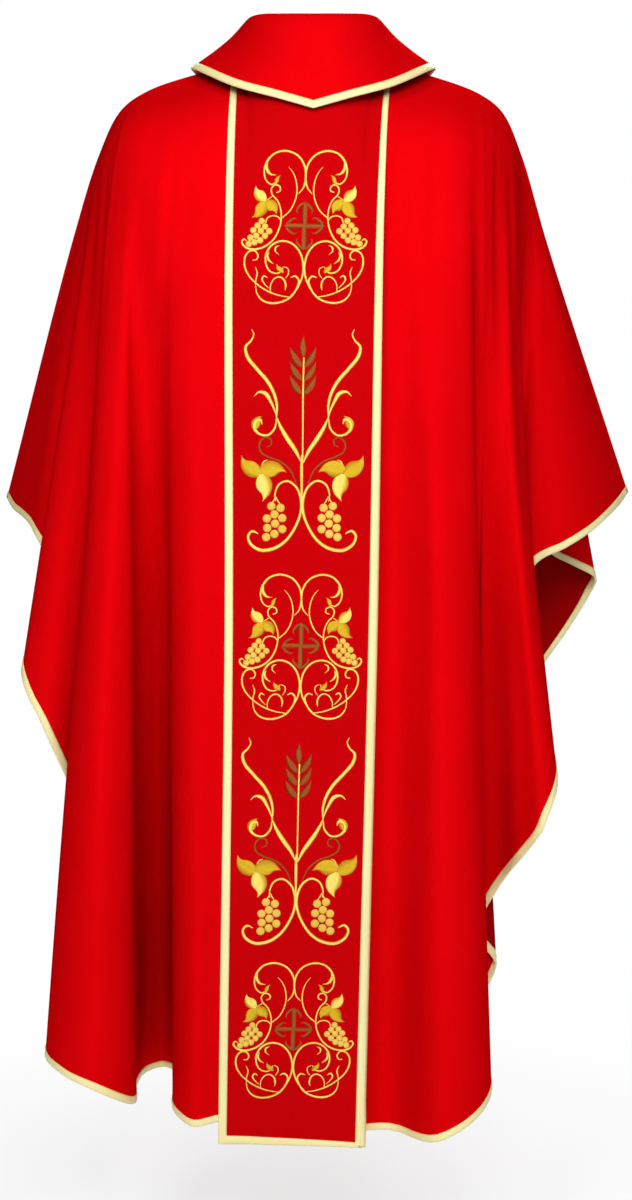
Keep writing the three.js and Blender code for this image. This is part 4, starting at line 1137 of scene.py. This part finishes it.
class Figures:
    """Collects the raised stitching of one colour of thread for all the figures."""

    def __init__(self):
        self.verts, self.faces, self.laid = [], [], []

    def strip(self, x, y, side_x, side_y, shares, heights, run, centre, scale, slant=0.0):
        """A strip along a line: side is its half width as a vector, shares go across it."""
        size = len(shares)
        px = x[:, None] + side_x[:, None] * shares
        py = y[:, None] + side_y[:, None] * shares
        points, _ = level_on_band(px, centre + py * scale, heights)
        start = sum(len(v) for v in self.verts)
        self.verts.append(points.reshape(-1, 3))
        across = shares[None, :] * np.ones((len(x), 1))
        lay = run[:, None] + slant * np.hypot(side_x, side_y)[:, None] * np.abs(across)
        # how far a point lies from the painted highlight; the thread material turns this into
        # painted shade toward the sides
        tone = np.abs(across + SHADED_SIDE)
        self.laid.append(np.stack([lay * MM, tone], -1).reshape(-1, 2))
        s, k = np.meshgrid(np.arange(len(x) - 1), np.arange(size), indexing="ij")
        n = (k + 1) % size
        here, there = s * size + start, (s + 1) * size + start
        quads = np.stack([here + k, here + n, there + n, there + k], -1)
        self.faces += quads.reshape(-1, 4).tolist()
        last = (len(x) - 1) * size + start
        self.faces += [list(range(start, start + size))[::-1], list(range(last, last + size))]

    def line(self, table, centre, scale, mirror=1, height=LINE_HEIGHT):
        """One scroll: a line of (x, y, width) drawn as a rounded cord of satin stitch."""
        table = np.array(table, float)
        dense = spline(table, np.linspace(0, len(table) - 1, 12 * len(table)))
        run = length_along(dense[:, :2])
        at = np.linspace(0, run[-1], max(int(run[-1] / LINE_STEP), 6))
        x, y, width = (np.interp(at, run, dense[:, i]) for i in range(3))
        x = x * mirror
        dx, dy = np.gradient(x), np.gradient(y)
        size = np.hypot(dx, dy)
        half = np.maximum(width, 0.5) / 2
        shares = np.array((-1, -0.85, -0.5, 0, 0.5, 0.85, 1))
        crown = np.sqrt(np.maximum(1 - shares**2, 0))
        puff = height * np.clip(half / 1.2, 0.45, 1.25)
        self.strip(x, y, -dy / size * half, dx / size * half, shares,
                   puff[:, None] * crown - SUNK, at, centre, scale)

    def blade(self, base, tip, width, centre, scale, mirror=1, bend=0.12, hook=0.05):
        """A leaf lobe or a kernel: two rows of slanting stitches that meet in a groove."""
        base, tip = np.array(base, float), np.array(tip, float)
        base[0], tip[0] = base[0] * mirror, tip[0] * mirror
        t = np.linspace(0, 1, BLADE_STEPS)
        axis = tip - base
        side = np.array((-axis[1], axis[0]))
        sway = bend * np.sin(math.pi * t) - hook * np.sin(2 * math.pi * t) * t
        curve = base + axis * t[:, None] + side * (mirror * sway)[:, None]
        belly = np.sin(math.pi * t ** (math.log(0.5) / math.log(BLADE_FULL)))
        half = width / 2 * np.maximum(belly, 0) ** (0.7 + 0.75 * t) + 0.15
        dx, dy = np.gradient(curve[:, 0]), np.gradient(curve[:, 1])
        size = np.hypot(dx, dy)
        shares = np.array((-1, -0.88, -0.6, -0.25, 0, 0.25, 0.6, 0.88, 1))
        crown = np.array((0, 0.6, 1, 0.85, 0.35, 0.85, 1, 0.6, 0))
        puff = BLADE_HEIGHT * np.clip(half / 2.5, 0.2, 1)
        run = np.linalg.norm(axis) * t
        self.strip(curve[:, 0], curve[:, 1], -dy / size * half, dx / size * half, shares,
                   puff[:, None] * crown - SUNK, run, centre, scale, slant=0.8)

    def finish(self, name, material, slot):
        """Makes one mesh of the strips, with the run of the thread and its painted shade across the
        strip as its UV layer.
        """
        made = new_mesh(name, np.concatenate(self.verts) * MM, self.faces, material)
        set_cut(made, np.concatenate(self.laid))
        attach(made, "root")
        return made


def cross_lines():
    """A cross whose arms end in a point between two hooks."""
    lines = []
    for name, reach in CROSS_REACH.items():
        for end in (-1, 1):
            arm = [(0, 0, CROSS_WIDTH), (0, end * (reach - 5), CROSS_WIDTH),
                   (0, end * (reach - 2), CROSS_WIDTH * 0.8), (0, end * (reach + 1), 0.6)]
            hooks = [[(side * x, end * (reach - y), width) for x, y, width in CROSS_HOOK]
                     for side in (-1, 1)]
            for table in (arm, *hooks):
                lines.append([(y, x, w) if name == "across" else (x, y, w) for x, y, w in table])
    return lines


light, deep, brown = Figures(), Figures(), Figures()
grapes = {figure: [] for figure in GRAPE_WIDTHS}
for figure, centre, scale in MOTIFS:
    medal = figure == "medallion"
    for mirror in (1, -1):
        for table in (MEDALLION_LINES if medal else WHEAT_LINES).values():
            light.line(table, centre, scale, mirror)
        leaves = MEDALLION_LEAVES if medal else WHEAT_LEAVES
        for name, (bx, by, tx, ty, width) in leaves.items():
            golden = light if name in ("leaf_up", "leaf_down") else deep
            golden.blade((bx, by), (tx, ty), width, centre, scale, mirror)
        bunch = np.array(MEDALLION_GRAPES if medal else WHEAT_GRAPES, float)
        points, out = level_on_band(bunch[:, 0] * mirror, centre + bunch[:, 1] * scale, 0.1)
        aside, _ = level_on_band(bunch[:, 0] * mirror + 1, centre + bunch[:, 1] * scale, 0.1)
        grapes[figure].append((points, aside - points, out))
        if not medal:
            for table in WHEAT_TENDRIL.values():
                brown.line(table, centre, scale, mirror)
            for name, (bx, by, tx, ty, width) in WHEAT_KERNELS.items():
                if mirror == 1 or name != "top_kernel":
                    brown.blade(
                        (bx, by), (tx, ty), width, centre, scale, mirror, bend=0.06, hook=0
                    )
    if medal:
        for table in cross_lines():
            brown.line(table, centre, scale, height=0.8)
    else:
        for table in WHEAT_STALK.values():
            light.line(table, centre, scale)
light.finish("gold_embroidery", gold_thread, "gold_tape")
deep.finish("deep_gold_embroidery", deep_thread, "gold_tape")
brown.finish("brown_embroidery", brown_thread, "gold_tape")

grape_satin, grape_surface, grape_tree = shader(
    "gold_grape_stitches", GOLD_HIGHLIGHT_AND_GRAIN_TONE, roughness=0.36, specular=0.35, tint=THREAD_GLOSS
)
add_grain(
    grape_tree, grape_surface, pebble=0.0006, thread=THREAD * MM, mix=0.85, depth=0.00015,
    tones=[GOLD_SHADE_AND_GRAIN_TONE, GOLD_HIGHLIGHT_AND_GRAIN_TONE],
)
for figure, width in GRAPE_WIDTHS.items():
    places, along, out = (np.concatenate(part) for part in zip(*grapes[figure]))
    size = (width, width, GRAPE_HEIGHT)
    bunch = set_on_points(
        figure + "_grapes", places, along, out, size, grape_satin, rings=8, segments=14
    )
    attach(bunch, "root")
